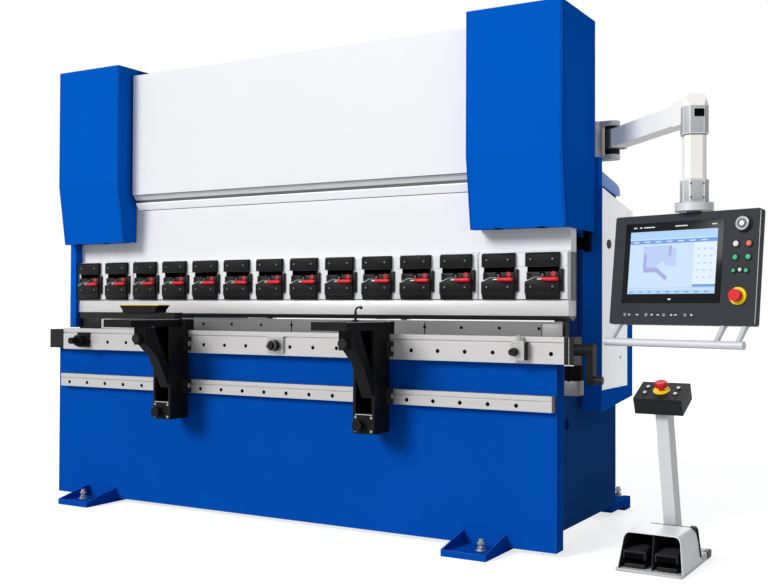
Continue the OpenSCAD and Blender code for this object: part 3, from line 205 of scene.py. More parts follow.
# white enamel with a glow: painted light that brightens the guards' sheets and doors and the ram's moulding
WHITE_PAINTED_GLOW = white("white_enamel_painted_glow", (246, 247, 250), edge_light=0.2, rounding=0.003, mottle=0.02, glow=0.3)
POST_WHITE = white("post_enamel", (226, 227, 228), 0.45, edge_light=0.3, mottle=0.03)
PALE_GREY = finish("pale_grey_enamel", "light_grey_paint", (206, 207, 208), 0.45, mottle=0.03,
                   edge_light=0.3)
GREY_BAND = finish("grey_band", "light_grey_paint", (184, 185, 186), 0.4, mottle=0.03)
RAIL = ground("milled_aluminium", "aluminium", (199, 197, 196), 0.38, 0.1, metallic=0.3, mottle=0.07,
              edge_light=0.5)
# the rails' top faces painted darker than their fronts: painted shade
RAIL_TOP_SHADE = ground("rail_top_face", "aluminium", (132, 131, 131), 0.4, 0.1, metallic=0.1, mottle=0.08)
ALUMINIUM = finish("anodised_aluminium", "aluminium", (214, 217, 220), 0.42, metallic=0.15, grain=1500,
                   bump=0.06, mottle=0.04, edge_light=0.5)
# the glow is painted light that brightens the beam where the covers shade it
PALE_BEAM_GLOW = finish("pale_anodised_beam_painted_glow", "aluminium", (244, 243, 238), 0.5, specular=0.06, glow=0.14, grain=1500,
              bump=0.05, mottle=0.02, edge_light=0.3)
ELBOW_GREY = finish("cast_elbow", "aluminium", (188, 191, 195), 0.45, metallic=0.1, bump=0.12, mottle=0.06,
                    edge_light=0.5)
STEEL = ground("ground_steel", "brushed_steel", (132, 131, 131), 0.36, metallic=0.2, mottle=0.12,
               edge_light=0.5)
BAR_STEEL = ground("pale_ground_steel", "brushed_steel", (218, 216, 215), 0.4, 0.1, metallic=0.2,
                   mottle=0.07, edge_light=0.4)
END_STEEL = ground("grey_ground_steel", "brushed_steel", (168, 167, 166), 0.42, metallic=0.1, specular=0.1,
                   mottle=0.1)
# dark steel, also used as painted shade in the ram moulding's gaps and on the punch's nose
DARK_STEEL_AND_SHADE = ground("dark_steel_and_painted_shade", "dark_steel", (88, 87, 86), 0.42, metallic=0.1, mottle=0.12)
MACHINE_STEEL = finish("machine_steel", "dark_steel", (92, 94, 97), 0.45, metallic=0.3, mottle=0.12,
                       edge_light=0.3)
ZINC = finish("zinc_plating", "zinc", (176, 176, 174), 0.32, metallic=0.6, mottle=0.12, bump=0.1,
              edge_light=0.4)
SCREW_GREY = finish("clamp_screw_steel", "dark_steel", (108, 108, 110), 0.34, metallic=0.4, mottle=0.12,
                    bump=0.1)
CHROME = finish("polished_chrome", "chrome", (190, 191, 194), 0.14, metallic=0.9, mottle=0.03)
CLAMP_BLACK = finish("blackened_steel", "dark_steel", (22, 22, 23), 0.42, specular=0.12, mottle=0.16,
                     bump=0.12, edge_light=0.2, rounding=0.003)
CLAMP_PLATE = finish("blackened_plate", "dark_steel", (32, 32, 34), 0.4, specular=0.15, mottle=0.18,
                     bump=0.12, edge_light=0.2)
# near black: painted shade in holes, slots, recesses and hollows, and the own colour of black parts, joints
# and seams
SHADE_AND_BLACK = finish("black_and_painted_shade", "black_plastic", (9, 9, 10), 0.8, specular=0.02, mottle=0.2)
CAST = finish("black_casting", "black_cast", (15, 15, 16), 0.55, specular=0.12, mottle=0.25, grain=500,
              bump=0.25, edge_light=0.12, rounding=0.003)
PLASTIC = moulded("black_plastic", (19, 19, 20), 0.18, edge_light=0.12)
BOX_BLACK = moulded("station_box_black", (30, 31, 32), mottle=0.1, edge_light=0.2)
CASE = finish("grey_case", "grey_case", (52, 55, 60), 0.5, specular=0.1, grain=1300, bump=0.14,
              edge_light=0.3, rounding=0.003)
BEZEL = finish("black_bezel", "screen_glass", (22, 25, 28), 0.2, specular=0.08, mottle=0.04, bump=0.0)
PEDAL_EDGE = moulded("pedal_edge", (34, 34, 35), edge_light=0.4)
# dark grey for the pedal cover's inside: painted shade
INSIDE_SHADE = finish("cover_inside", "black_plastic", (50, 52, 54), 0.6, specular=0.05, mottle=0.12)
RED = finish("red_plastic", "red_plastic", (222, 28, 38), 0.34)
# the glow is painted light that brightens the yellow plastic
YELLOW = button("yellow_plastic", (252, 218, 18), 0.4, glow=0.08)
BUTTON_WHITE = button("white_plastic", (232, 233, 230), mottle=0.03)
BUTTON_GREEN = button("green_plastic", (66, 190, 138))
BUTTON_ORANGE = button("orange_plastic", (226, 118, 74))
SCREEN_PALE = lit("screen_pale", (200, 224, 248))
SCREEN_TOP = lit("screen_top", (176, 210, 241))
SCREEN_BAR = lit("screen_bar", (112, 158, 222))
SCREEN_LILAC = lit("screen_lilac", (166, 172, 218))
SCREEN_MIST = lit("screen_mist", (186, 204, 240))
SCREEN_WHITE = lit("screen_white", (222, 236, 250))


# ---------------------------------------------------------------- building pieces

SHARP, CREASE = math.radians(35), math.radians(30)     # edges this sharp are rounded, and stay creased


class Shape:
    """A mesh put together from rounded blocks, rods and drawn outlines, in metres in the part's frame."""

    def __init__(self, place=None):
        self.mesh = bmesh.new()
        self.place = place or Matrix.Identity(4)

    def join(self, piece, rounding):
        """Rounds off the sharp edges of a new piece, puts it in place and joins it to the mesh."""
        bmesh.ops.recalc_face_normals(piece, faces=piece.faces)
        if rounding:
            sharp = [edge for edge in piece.edges if edge.calc_face_angle(0) > SHARP]
            bmesh.ops.bevel(piece, geom=sharp, offset=rounding, segments=2, profile=0.5,
                            affect="EDGES", clamp_overlap=True)
        piece.transform(self.place)
        scratch = bpy.data.meshes.new("scratch")
        piece.to_mesh(scratch)
        piece.free()
        self.mesh.from_mesh(scratch)
        bpy.data.meshes.remove(scratch)

    def block(self, x, y, z, rounding=0.0015):
        """A block between two values on each axis."""
        x, y, z = sorted(x), sorted(y), sorted(z)
        self.prism([(x[0], y[0]), (x[1], y[0]), (x[1], y[1]), (x[0], y[1])], "z", z, rounding)

    def prism(self, outline, axis, ends, rounding=0.0015):
        """An outline of (y, z), (x, z) or (x, y) points, drawn out along x, y or z between two ends."""
        order = {"x": (2, 0, 1), "y": (0, 2, 1), "z": (0, 1, 2)}[axis]
        piece = bmesh.new()
        loops = []
        for depth in sorted(ends):
            corners = []
            for across, up in outline:
                values = (across, up, depth)
                corners.append(piece.verts.new([values[i] for i in order]))
            loops.append(corners)
            piece.faces.new(corners)
        count = len(outline)
        for i in range(count):
            j = (i + 1) % count
            piece.faces.new([loops[0][i], loops[0][j], loops[1][j], loops[1][i]])
        self.join(piece, rounding)

    def turned(self, start, axis, profile, sides=32):
        """A closed body of revolution: (distance along the axis, radius) points from the start."""
        start, axis = Vector(start), Vector(axis).normalized()
        side = axis.orthogonal().normalized()
        piece = bmesh.new()
        rings = []
        for along, radius in profile:
            centre = start + axis * along
            if radius < 1e-6:
                rings.append([piece.verts.new(centre)])
                continue
            turns = [Matrix.Rotation(2 * math.pi * i / sides, 3, axis) for i in range(sides)]
            rings.append([piece.verts.new(centre + turn @ side * radius) for turn in turns])
        for a, b in zip(rings, rings[1:]):
            for i in range(sides):
                j = (i + 1) % sides
                corners = [a[i % len(a)], a[j % len(a)], b[j % len(b)], b[i % len(b)]]
                piece.faces.new(list(dict.fromkeys(corners)))
        for ring in (rings[0], rings[-1]):
            if len(ring) > 1:
                piece.faces.new(ring)
        self.join(piece, 0)

    def rod(self, start, end, radius, edge=0.001, sides=32):
        """A round rod between two points, with its ends' edges taken off."""
        start, end = Vector(start), Vector(end)
        length = (end - start).length
        self.turned(start, end - start, [(0, radius - edge), (edge, radius), (length - edge, radius),
                                         (length, radius - edge)], sides)

    def ring(self, start, axis, depth, outer, inner, sides=40):
        """A flat ring with a raised, rounded rim."""
        rim = min(0.0015, depth / 3)
        self.turned(start, axis, [(0, inner), (0, outer), (depth - rim, outer), (depth, outer - rim),
                                  (depth, inner), (0, inner)], sides)

    def disc(self, start, axis, radius, depth, sides=20):
        """A flat disc that stands off a surface."""
        self.turned(start, axis, [(0, radius), (depth, radius), (depth, 0)], sides)

    def socket_screw(self, head, axis, radius, height):
        """A round screw head with a hollow in its middle."""
        self.turned(head, axis, [(0, radius * 0.9), (height * 0.7, radius), (height, radius * 0.86),
                                 (height, radius * 0.5), (height * 0.45, radius * 0.46),
                                 (height * 0.45, 0)], 20)

    def done(self, name, body, material, *stands_for):
        """Makes the object, which rides on a body and may stand for CAD nodes."""
        mesh = bpy.data.meshes.new(name)
        self.mesh.to_mesh(mesh)
        self.mesh.free()
        for face in mesh.polygons:
            face.use_smooth = True
        mesh.set_sharp_from_angle(angle=CREASE)
        mesh.materials.append(material)
        piece = linked(name, mesh)
        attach(piece, body)
        if stands_for:
            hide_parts(*stands_for)


def dress(material, *names):
    """Gives CAD nodes that stay their material."""
    for name in names:
        for slot in nodes[name].material_slots:
            slot.material = material


def about(middle, half):
    """From a half below the middle to a half above it."""
    return middle - half, middle + half


def span(base, low, high):
    """Two values at these distances from a base."""
    return base + low, base + high


def beyond(side, base, low, high):
    """From low to high outside a base, on the left where side is -1 and on the right where it is 1."""
    return side * (base + low), side * (base + high)


def circle(middle, across, up, count):
    """Points round a circle or ellipse with these half sizes."""
    turns = [2 * math.pi * i / count for i in range(count)]
    return [(middle[0] + across * math.cos(turn), middle[1] + up * math.sin(turn)) for turn in turns]


SIDES = (-1, 1)
RIGHT, FRONT, UP = (1, 0, 0), (0, -1, 0), (0, 0, 1)


# ---------------------------------------------------------------- frame and covers

def dress_frame():
    """Finishes of the frame's, ram's and cabinets' CAD nodes, which stay as they are."""
    dress(BLUE, "cross_beams", "cylinder_covers", "side_guards")
    # table front and feet in the darker blue: painted shade
    dress(BLUE_TABLE_SHADED, "table_front_plate", "floor_feet")
    # side frames in the darker blue: painted shade
    dress(BLUE_FRAME_SHADED, "side_frames")
    dress(MACHINE_STEEL, "bed_slab", "cylinders", "gauge_rails")
    dress(ZINC, "levelling_screws", "rail_stop_right", "rail_stop_middle")
    dress(STEEL, "guide_strips", "lower_die")
    dress(CHROME, "piston_rods")
    dress(WHITE, "ram", "ram_panel", "clamp_bar")
    dress(PALE_GREY, "hydraulic_unit", "electrical_cabinet", "cabinet_door")


def foot_details():
    """Lock nuts on the levelling screws, and dark discs painted as the shade in the anchor holes beside
    them.
    """
    table, screws = part("table_front_plate"), part("levelling_screws")
    front = (table.x1 - 0.315, screws.y0 + 0.0165, part("floor_feet").z0 + 0.02)
    rear = (screws.x1 - 0.019, screws.y1 - 0.0165, part("side_frames").z0)
    nut = [(0, 0.0125), (0, 0.0185), (0.01, 0.0185), (0.0115, 0.0165), (0.0115, 0.0125)]
    nuts, holes = Shape(), Shape()
    for side in SIDES:
        for (x, y, top), hole_x, hole_y in ((front, -0.07, 0), (rear, 0, -0.05)):
            nuts.turned((side * x, y, top), UP, [(0, 0.026), (0.003, 0.026), (0.003, 0.02)], 28)
            nuts.turned((side * x, y, top + 0.028), UP, nut, 6)
            # dark disc: painted shade in the anchor hole
            holes.disc((side * (x + hole_x), y + hole_y, top - 0.004), UP, 0.0088, 0.001, 24)
    nuts.done("foot_lock_nuts", "root", ZINC)
    holes.done("foot_anchor_hole_shade", "root", SHADE_AND_BLACK)


def cover_details():
    """Seams of the sheet covers, and dark patches along their lower edges, painted as the shade in the
    slots there.
    """
    cover, inner = part("cylinder_covers"), part("ram_panel").x1 + 0.015
    lip_y, fold_z, top = cover.y0 + 0.05, cover.z0 + 0.341, cover.z1 - 0.004
    seams, slot_shades = Shape(), Shape()

    def strip(front, back):
        """The side of a strip that follows the cover's front, from its top down to its lip."""
        return [(cover.y0 + front, top), (cover.y0 + front, fold_z), (lip_y + front, cover.z0),
                (lip_y + back, cover.z0), (cover.y0 + back, fold_z), (cover.y0 + back, top)]

    for side in SIDES:
        for x in (inner + 0.006, cover.x1 - 0.006):
            seams.prism(strip(-0.0004, 0.002), "x", beyond(side, x, -0.0008, 0.0008), 0)
        seams.prism(strip(0.028, 0.03), "x", beyond(side, cover.x1, -0.001, 0.0004), 0)
        # dark patches on the underside: painted shade in the covers' slots
        for x in (0.14, 0.355):
            slot_shades.block(beyond(side, inner + x, -0.02, 0.02), span(lip_y, -0.001, 0.03),
                          about(cover.z0, 0.003))
    seams.done("cover_seams", "root", BLUE_DEEP)
    slot_shades.done("cover_slot_shade", "root", SHADE_AND_BLACK)


def shoulder_details():
    """The blue sheet over the top of each side frame, rolled down over its rear edge, painted pale and
    glowing as a painted reflection of light.
    """
    frames = part("side_frames")
    rear, front = frames.y1, part("cylinder_covers").y1 + 0.006
    low, rise, run = 1.772, 0.058, 0.34         # the sheet's height at the rear edge, and its slope
    top = low + rise * (rear - front) / run

    def rear_points(*steps):
        return [(rear + y, low + z) for y, z in steps]

    roll = [(front, top)] + rear_points((-0.004, 0.004), (0.03, -0.004), (0.052, -0.016), (0.062, -0.034),
                                        (0.064, -0.058))
    sheet = [(front, top + 0.002)] + roll[1:] + rear_points((0.004, -0.064), (-0.01, -0.06))
    lining = rear_points((0.056, -0.058), (0.054, -0.036), (0.046, -0.024), (-0.004, -0.004))
    cap = Shape()
    for side in SIDES:
        cap.prism(sheet + [(front, top - 0.084)], "x", beyond(side, frames.x1, -0.0004, 0.003), 0.0008)
        cap.prism(roll + lining + [(front, top - 0.006)], "x", beyond(side, frames.x1, -0.049, 0.002),
                  0.001)
    cap.done("frame_shoulder_caps", "root", BLUE_PAINTED_SHEEN)


def throat_details():
    """Guide brackets between covers and frames, the bed's black end blocks, one of them partly painted
    shadow, and the strip at the left end.
    """
    cover, frames = part("cylinder_covers"), part("side_frames")
    slab, holder = part("bed_slab"), part("die_holder")
    bracket, block, strip = Shape(), Shape(), Shape()
    steps = ((0.057, 0.083, 0.49, 0.535, -0.096, 0.02), (0.026, 0.06, 0.495, 0.53, -0.084, -0.028),
             (-0.002, 0.03, 0.5, 0.525, -0.07, -0.044))
    for side in SIDES:
        for near, far, front, back, low, high in steps:
            bracket.block(beyond(side, frames.x1, near, far), (front, back), span(cover.z0, low, high))
        block.block(beyond(side, frames.x1, -0.01, 0.046), (0.285, 0.335), (0.975, 1.05))
    # black block in front of the die holder's left end: partly the sheet carrier's dark body, partly
    # painted shadow under the sheet bar
    block.block((cover.x0 + 0.018, holder.x0 + 0.13), span(holder.y0, -0.01, -0.004),
                (slab.z1 - 0.01, holder.z1 + 0.012), 0.0006)
    left, front, back, gauge = cover.x0 - 0.022, 0.226, 0.272, 0.003
    foot, top = part("table_front_plate").z1 + 0.052, cover.z0 + 0.01
    strip.block((left, left + 0.048), (front, front + gauge), (foot, top), 0.0006)
    strip.block(span(left, 0.045, 0.048), (front, back), (foot, cover.z0 - 0.0006), 0.0006)
    strip.block((left, left + gauge), (front, back), (foot, top), 0.0006)
    strip.done("left_end_strip", "root", BLUE)
    bracket.done("guide_brackets", "root", SHADE_AND_BLACK)
    block.done("bed_end_blocks", "root", PLASTIC)


MOTOR_X0 = -0.65            # left end of the pump motor on the hydraulic unit


def back_details():
    """Louvres on the cabinet's door with painted shade in the slots under them, fins on the pump motor,
    valve coils and the tank's level glass.
    """
    cabinet, unit = part("electrical_cabinet"), part("hydraulic_unit")
    sheet, door_x = cabinet.y0 + 0.2783, span(cabinet.x0, 0.13, 0.38)
    hoods, slots = Shape(), Shape()
    for foot in (cabinet.z0 + 0.11, cabinet.z1 - 0.26):
        for i in range(6):
            z = foot + 0.025 * i
            # dark strip under each louvre: painted shade in its slot
            slots.block(door_x, span(sheet, -0.001, 0.0006), (z, z + 0.006), 0)
            hoods.prism([(sheet, z + 0.005), (sheet + 0.007, z + 0.006), (sheet + 0.005, z + 0.01),
                         (sheet, z + 0.017)], "x", door_x, 0.0005)
    hoods.done("cabinet_louvres", "cabinet_door", PALE_GREY)
    slots.done("cabinet_slot_shade", "cabinet_door", SHADE_AND_BLACK)
    y, z, radius = (unit.y0 + unit.y1) / 2, unit.z1 - 0.085, 0.084
    fins, coils, glass = Shape(), Shape(), Shape()
    x = MOTOR_X0 + 0.07
    while x < MOTOR_X0 + 0.29:
        fins.ring((x, y, z), RIGHT, 0.003, 0.0905, radius)
        x += 0.014
    hood = [(0, 0.076), (0.008, 0.088), (0.06, 0.088), (0.06, radius)]
    fins.turned((MOTOR_X0 - 0.002, y, z), RIGHT, hood, 40)
    for i in range(3):
        x = MOTOR_X0 + 0.42 + 0.045 * i
        coils.rod((x, y - 0.115, z - 0.01), (x, y + 0.115, z - 0.01), 0.017)
    glass.block(span(unit.x1, -0.15, -0.125), span(unit.y1, -0.001, 0.006), span(unit.z0, 0.06, 0.2),
                0.002)
    fins.done("motor_fins", "root", PALE_GREY)
    coils.done("valve_coils", "root", PLASTIC)
    glass.done("tank_level_glass", "root", BEZEL)


# ---------------------------------------------------------------- ram and tools

BAND_FOOT = 1.722            # height of the ram panel's foot, where the moulding begins
BAND_SLOPE = 0.054           # how far the moulding's lower edge lies under it


def ram_details():
    """White moulding across the ram's foot, glowing with painted light and with painted shade in its gaps,
    the ram's end plates, and the punch, its nose painted dark as shade.
    """
    panel, bar, punch = part("ram_panel"), part("clamp_bar"), part("punch")
    top, low = BAND_FOOT, BAND_FOOT - BAND_SLOPE
    band_y, ram_y = panel.y0 + 0.03, panel.y0 + 0.06
    across = (panel.x0 + 0.0004, panel.x1 - 0.0004)
    band, gap, lip, ends = Shape(), Shape(), Shape(), Shape()
    band.prism([(band_y - 0.0008, top + 0.004), (band_y - 0.0008, top - 0.02), (ram_y - 0.0006, low),
                (ram_y + 0.001, low), (band_y + 0.002, top - 0.018), (band_y + 0.002, top + 0.004)],
               "x", across, 0)
    # dark strips in the moulding's gaps and along its lower edge: painted shade
    gap.prism([(band_y - 0.0012, top - 0.014), (band_y - 0.0012, top + 0.0062),
               (band_y - 0.0055, top + 0.0112), (band_y + 0.002, top + 0.0112),
               (band_y + 0.002, top - 0.014)], "x", across, 0)
    gap.block(across, about(ram_y, 0.001), span(low, -0.0032, 0.0004), 0)
    gap.block(across, span(panel.y0, -0.0002, 0.006), span(top, 0.0268, 0.0295), 0)
    lip.block(across, span(panel.y0, 0.0001, 0.006), span(top, 0.0293, 0.0425), 0)
    # the moulding's glow is painted light
    band.done("ram_moulding", "ram", WHITE_PAINTED_GLOW)
    gap.done("ram_moulding_gap_shade", "ram", DARK_STEEL_AND_SHADE)
    lip.done("ram_panel_lip", "ram", WHITE)
    for side in SIDES:
        ends.block(beyond(side, bar.x1, 0, 0.0012), (bar.y0 + 0.001, bar.y1 - 0.001), bar.z, 0.0004)
    ends.done("ram_end_plates", "ram", DARK_STEEL_AND_SHADE)
    blade, nose = Shape(), Shape()
    front, shoulder = min(punch.y0, part("clamp_blocks").y0 + 0.021), punch.z0 + 0.021
    middle = (punch.y0 + punch.y1) / 2
    blade.block(punch.x, (front, punch.y1), (shoulder, punch.z1), 0.0008)
    # the nose's darker steel is painted shade on the bevel that faces down
    nose.prism([(front, shoulder), (middle - 0.008, punch.z0), (middle + 0.008, punch.z0),
                (punch.y1, shoulder)], "x", punch.x, 0.0004)
    blade.done("punch_blade", "ram", BAR_STEEL, "punch")
    nose.done("punch_nose", "ram", DARK_STEEL_AND_SHADE, "punch")


# a clamp's four screws: how far from its middle, and the two heights over its foot
CLAMP_SCREW_X, CLAMP_SCREW_HIGH, CLAMP_SCREW_LOW = 0.056, 0.185, 0.058


def clamp_details():
    """The lever clamps that hold the punches, all alike: blocks, plates, screws and red levers, with
    painted shade in recesses and sockets and a painted highlight on each step's edge.
    """
    blocks, table = part("clamp_blocks"), part("table_front_plate")
    count, half, shift = 14, 0.083, -0.007       # clamps, half a clamp's width, and its step off the pitch
    pitch = (table.x1 - table.x0) / count
    front, back, foot, top = blocks.y0, blocks.y0 + 0.024, blocks.z0, blocks.z1
    ledge, sill, bend, step = top - 0.065, top - 0.091, foot + 0.025, foot + 0.101
    lever_z, plate_y = step - 0.009, front + 0.005
    body, plate, recess, edge = Shape(), Shape(), Shape(), Shape()
    screws, sockets, red, shank = Shape(), Shape(), Shape(), Shape()
    for i in range(count):
        x = table.x0 + (i + 0.5) * pitch + shift
        left, right = x - half, x + half
        body.prism([(back, top), (front + 0.011, top), (front, top - 0.01), (front, ledge), (back, ledge)],
                   "x", (left, right), 0.0018)
        # near-black block under the upper block: painted shade in the recess
        recess.block((left + 0.003, right - 0.003), (front + 0.022, back), (ledge, sill), 0)
        plate.block((left + 0.006, right - 0.002), (plate_y, back), (sill, step - 0.01), 0.0012)
        body.prism([(left - 0.002, step - 0.02), (left + 0.02, step - 0.012), (left + 0.045, step),
                    (right, step), (right, bend), (left - 0.002, bend)], "y", (front, back), 0.0018)
        body.prism([(front + 0.0003, bend + 0.002), (front + 0.008, foot), (back, foot),
                    (back, bend + 0.002)], "x", (left + 0.001, right - 0.001), 0.001)
        body.block(span(right, -0.004, 0.016), (front + 0.01, back), span(foot, 0.036, 0.14), 0.0012)
        # light strip along the step's chamfer: a painted highlight
        edge.prism([(left - 0.002, step - 0.0205), (left + 0.02, step - 0.0125), (left + 0.045, step),
                    (x + 0.004, step), (x + 0.004, step + 0.0016), (left + 0.0445, step + 0.0016),
                    (left + 0.019, step - 0.01), (left - 0.002, step - 0.018)], "y",
                   span(front, -0.0003, 0.006), 0.0003)
        # dark discs round the screws and in the holes: painted shade in counterbores and sockets
        for across in (-CLAMP_SCREW_X, CLAMP_SCREW_X - 0.004):
            for up in (CLAMP_SCREW_LOW, CLAMP_SCREW_HIGH):
                sockets.disc((x + across, front + 0.0004, foot + up), FRONT, 0.0098, 0.0004, 24)
                screws.socket_screw((x + across, front, foot + up), FRONT, 0.006, 0.0018)
        sockets.disc((x - 0.061, front + 0.0052, sill - 0.013), FRONT, 0.006, 0.0006)
        sockets.disc((x + 0.002, front + 0.0052, sill - 0.01), FRONT, 0.0155, 0.0007, 6)
        screws.socket_screw((x + 0.002, front + 0.0045, sill - 0.014), FRONT, 0.0062, 0.0022)
        red.ring((x + 0.056, plate_y, sill - 0.01), FRONT, 0.004, 0.0125, 0.0065)
        screws.socket_screw((x + 0.056, plate_y, sill - 0.01), FRONT, 0.0062, 0.0034)
        shank.turned((x - 0.02, front - 0.006, lever_z), RIGHT,
                     [(0, 0), (0.001, 0.005), (0.008, 0.0062), (0.01, 0.0048), (0.026, 0.0048)], 20)
        red.turned((x + 0.003, front - 0.0105, lever_z), RIGHT,
                   [(0, 0.006), (0.003, 0.0088), (0.012, 0.0098), (0.06, 0.0105), (0.076, 0.0098),
                    (0.081, 0.0065), (0.0825, 0)], 24)
    clamp_seat(back, foot, top, ledge)
    body.done("clamp_bodies", "ram", CLAMP_BLACK, "clamp_blocks")
    plate.done("clamp_plates", "ram", CLAMP_PLATE)
    recess.done("clamp_recess_shade", "ram", SHADE_AND_BLACK)
    edge.done("clamp_step_edge_highlights", "ram", ALUMINIUM)
    screws.done("clamp_screw_heads", "ram", SCREW_GREY, "clamp_screws")
    sockets.done("clamp_socket_shade", "ram", SHADE_AND_BLACK)
    red.done("clamp_red_levers", "ram", RED, "clamp_levers")
    shank.done("clamp_lever_shanks", "ram", ZINC)


def clamp_seat(back, foot, top, ledge):
    """The white face behind the clamps, in three spans that leave room for the covers' inner walls."""
    table, rear = part("table_front_plate"), part("clamp_blocks").y1 + 0.001
    wall = part("ram_panel").x1                  # the covers' inner walls stand just outside this
    spans = ((table.x0 + 0.001, -wall - 0.022), (-wall - 0.012, wall + 0.012),
             (wall + 0.022, table.x1 - 0.001))
    seat, joint = Shape(), Shape()
    for x in spans:
        seat.prism([(back - 0.002, foot), (rear, foot), (rear, top + 0.012), (back - 0.002, top - 0.006)],
                   "x", x, 0.001)
        joint.block(x, (back - 0.0026, back), span(ledge, -0.001, 0.0005), 0)
    seat.done("clamp_seat", "ram", WHITE)
    joint.done("clamp_seat_joint", "ram", GREY_BAND)


def bed_details():
    """Ground die holder with its plain end blocks, joints and dark screw sockets."""
    holder, end_length, far_length = part("die_holder"), 0.715, 0.1
    dress(STEEL, "die_holder")
    ends, far, joins, sockets = Shape(), Shape(), Shape(), Shape()
    for shape, x in ((ends, (holder.x0, holder.x0 + end_length)),
                     (far, (holder.x1 - far_length, holder.x1))):
        shape.block(x, span(holder.y0, -0.002, 0.004), (holder.z0 + 0.001, holder.z1 - 0.001), 0.0006)
    for x in (holder.x0 + end_length, holder.x0 + 1.515, holder.x1 - end_length, holder.x1 - far_length):
        joins.block(about(x, 0.0016), span(holder.y0, -0.0026, 0.002), holder.z, 0)
    for i in range(15):
        x = holder.x0 + 0.115 + 0.2 * i
        sockets.disc((x, holder.y0 - 0.001, holder.z1 - 0.022), FRONT, 0.0074, 0.0014)
    ends.done("die_holder_end_blocks", "root", BAR_STEEL)
    far.done("die_holder_far_block", "root", END_STEEL)
    joins.done("die_holder_joints", "root", SHADE_AND_BLACK)
    sockets.done("die_holder_sockets", "root", SHADE_AND_BLACK)


# ---------------------------------------------------------------- rails, stops and arms

def rail_details():
    """Milled rails, the trim of their right ends, and the crowning drive's steel block and spindle."""
    dress(RAIL, "upper_rail", "lower_rail")
    rail_faces()
    dress(PLASTIC, "rail_end_blocks", "crank_grip", "sheet_bar_left", "sheet_hook_right", "arm_knob_left",
          "arm_knob_right", "pedal_left", "pedal_right")
    dress(CAST, "crank", "rail_stop_left")
    lower, ends, drive = part("lower_rail"), part("rail_end_blocks"), part("crowning_drive")
    caps, rim, block, spindle = Shape(), Shape(), Shape(), Shape()
    caps.block(span(lower.x1, -0.001, 0.003), (lower.y0 + 0.002, lower.y1),
               (lower.z0 + 0.003, lower.z1 - 0.003))
    caps.done("lower_rail_cap", "root", MACHINE_STEEL)
    rim.block((part("upper_rail").x1, ends.x1), span(ends.y0, -0.0008, 0.01),
              span(ends.z0, -0.0005, 0.004), 0.0005)
    rim.block(span(ends.x1, -0.024, -0.022), span(ends.y0, -0.0008, 0.002), ends.z, 0)
    rim.done("end_block_edges", "root", ALUMINIUM)
    split, x, y = (drive.z0 + drive.z1) / 2, drive.x0 + 0.02, drive.y0 + 0.003
    block.block(drive.x, drive.y, (drive.z0, split), 0.003)
    spindle.block((drive.x0 + 0.002, drive.x1 - 0.002), (drive.y0 + 0.004, drive.y1), (split, drive.z1),
                  0.002)
    spindle.rod((x, y, split - 0.004), (x, y, drive.z1), 0.006)
    block.done("crowning_block", "root", MACHINE_STEEL, "crowning_drive")
    spindle.done("crowning_spindle", "root", SHADE_AND_BLACK, "crowning_drive")


def rail_faces():
    """Top faces of the rails painted darker grey as shade, and dark discs painted as the shade in their
    index holes.
    """
    upper, lower = part("upper_rail"), part("lower_rail")
    tops, bottoms = Shape(), Shape()
    # darker strips over the rails' tops: painted shade
    for rail, front, back in ((upper, upper.y0 + 0.0005, upper.y0 + 0.0235),
                              (upper, upper.y1 - 0.0135, upper.y1 - 0.0003),
                              (lower, lower.y0 + 0.0005, lower.y1 - 0.0003)):
        tops.block(rail.x, (front, back), span(rail.z1, -0.001, 0.0004), 0)
    # dark discs, wider than the holes: painted shade in the index holes
    for rail, up in ((upper, 0.045), (lower, 0.024)):
        x = rail.x0 + 0.07
        while x < rail.x1 - 0.04:
            bottoms.disc((x, rail.y0 + 0.001, rail.z0 + up), FRONT, 0.0098, 0.0014)
            x += 0.14
    tops.done("rail_top_painted_shade", "root", RAIL_TOP_SHADE)
    bottoms.done("rail_hole_shade", "root", SHADE_AND_BLACK)


def stop_details():
    """Dark knobs of the middle and right rail stops, and the right one's back plate."""
    middle, right, rail = part("rail_stop_middle"), part("rail_stop_right"), part("upper_rail")
    knob_z, face = rail.z0 + 0.052, rail.y0 - 0.0123
    knob, far = Shape(), Shape()
    x = (middle.x0 + middle.x1) / 2
    knob.turned((x, face - 0.0005, knob_z), FRONT,
                [(0, 0.0295), (0.03, 0.0295), (0.0345, 0.025), (0.0345, 0)], 12)
    knob.rod((x, face - 0.03, knob_z), (x, middle.y0 - 0.0004, knob_z), 0.0155)
    knob.done("stop_middle_knob", "stop_middle", PLASTIC)
    x = (right.x0 + right.x1) / 2 - 0.012
    far.turned((x, face - 0.0335, knob_z), FRONT,
               [(0, 0.019), (0.012, 0.019), (0.012, 0.0162), (0.0336, 0.0162), (0.0336, 0)], 12)
    far.block(span(right.x1, -0.0004, 0.0016), span(face, -0.03, 0.01),
              (right.z0 + 0.002, right.z1 - 0.03))
    far.done("stop_right_knob", "stop_right", PLASTIC)


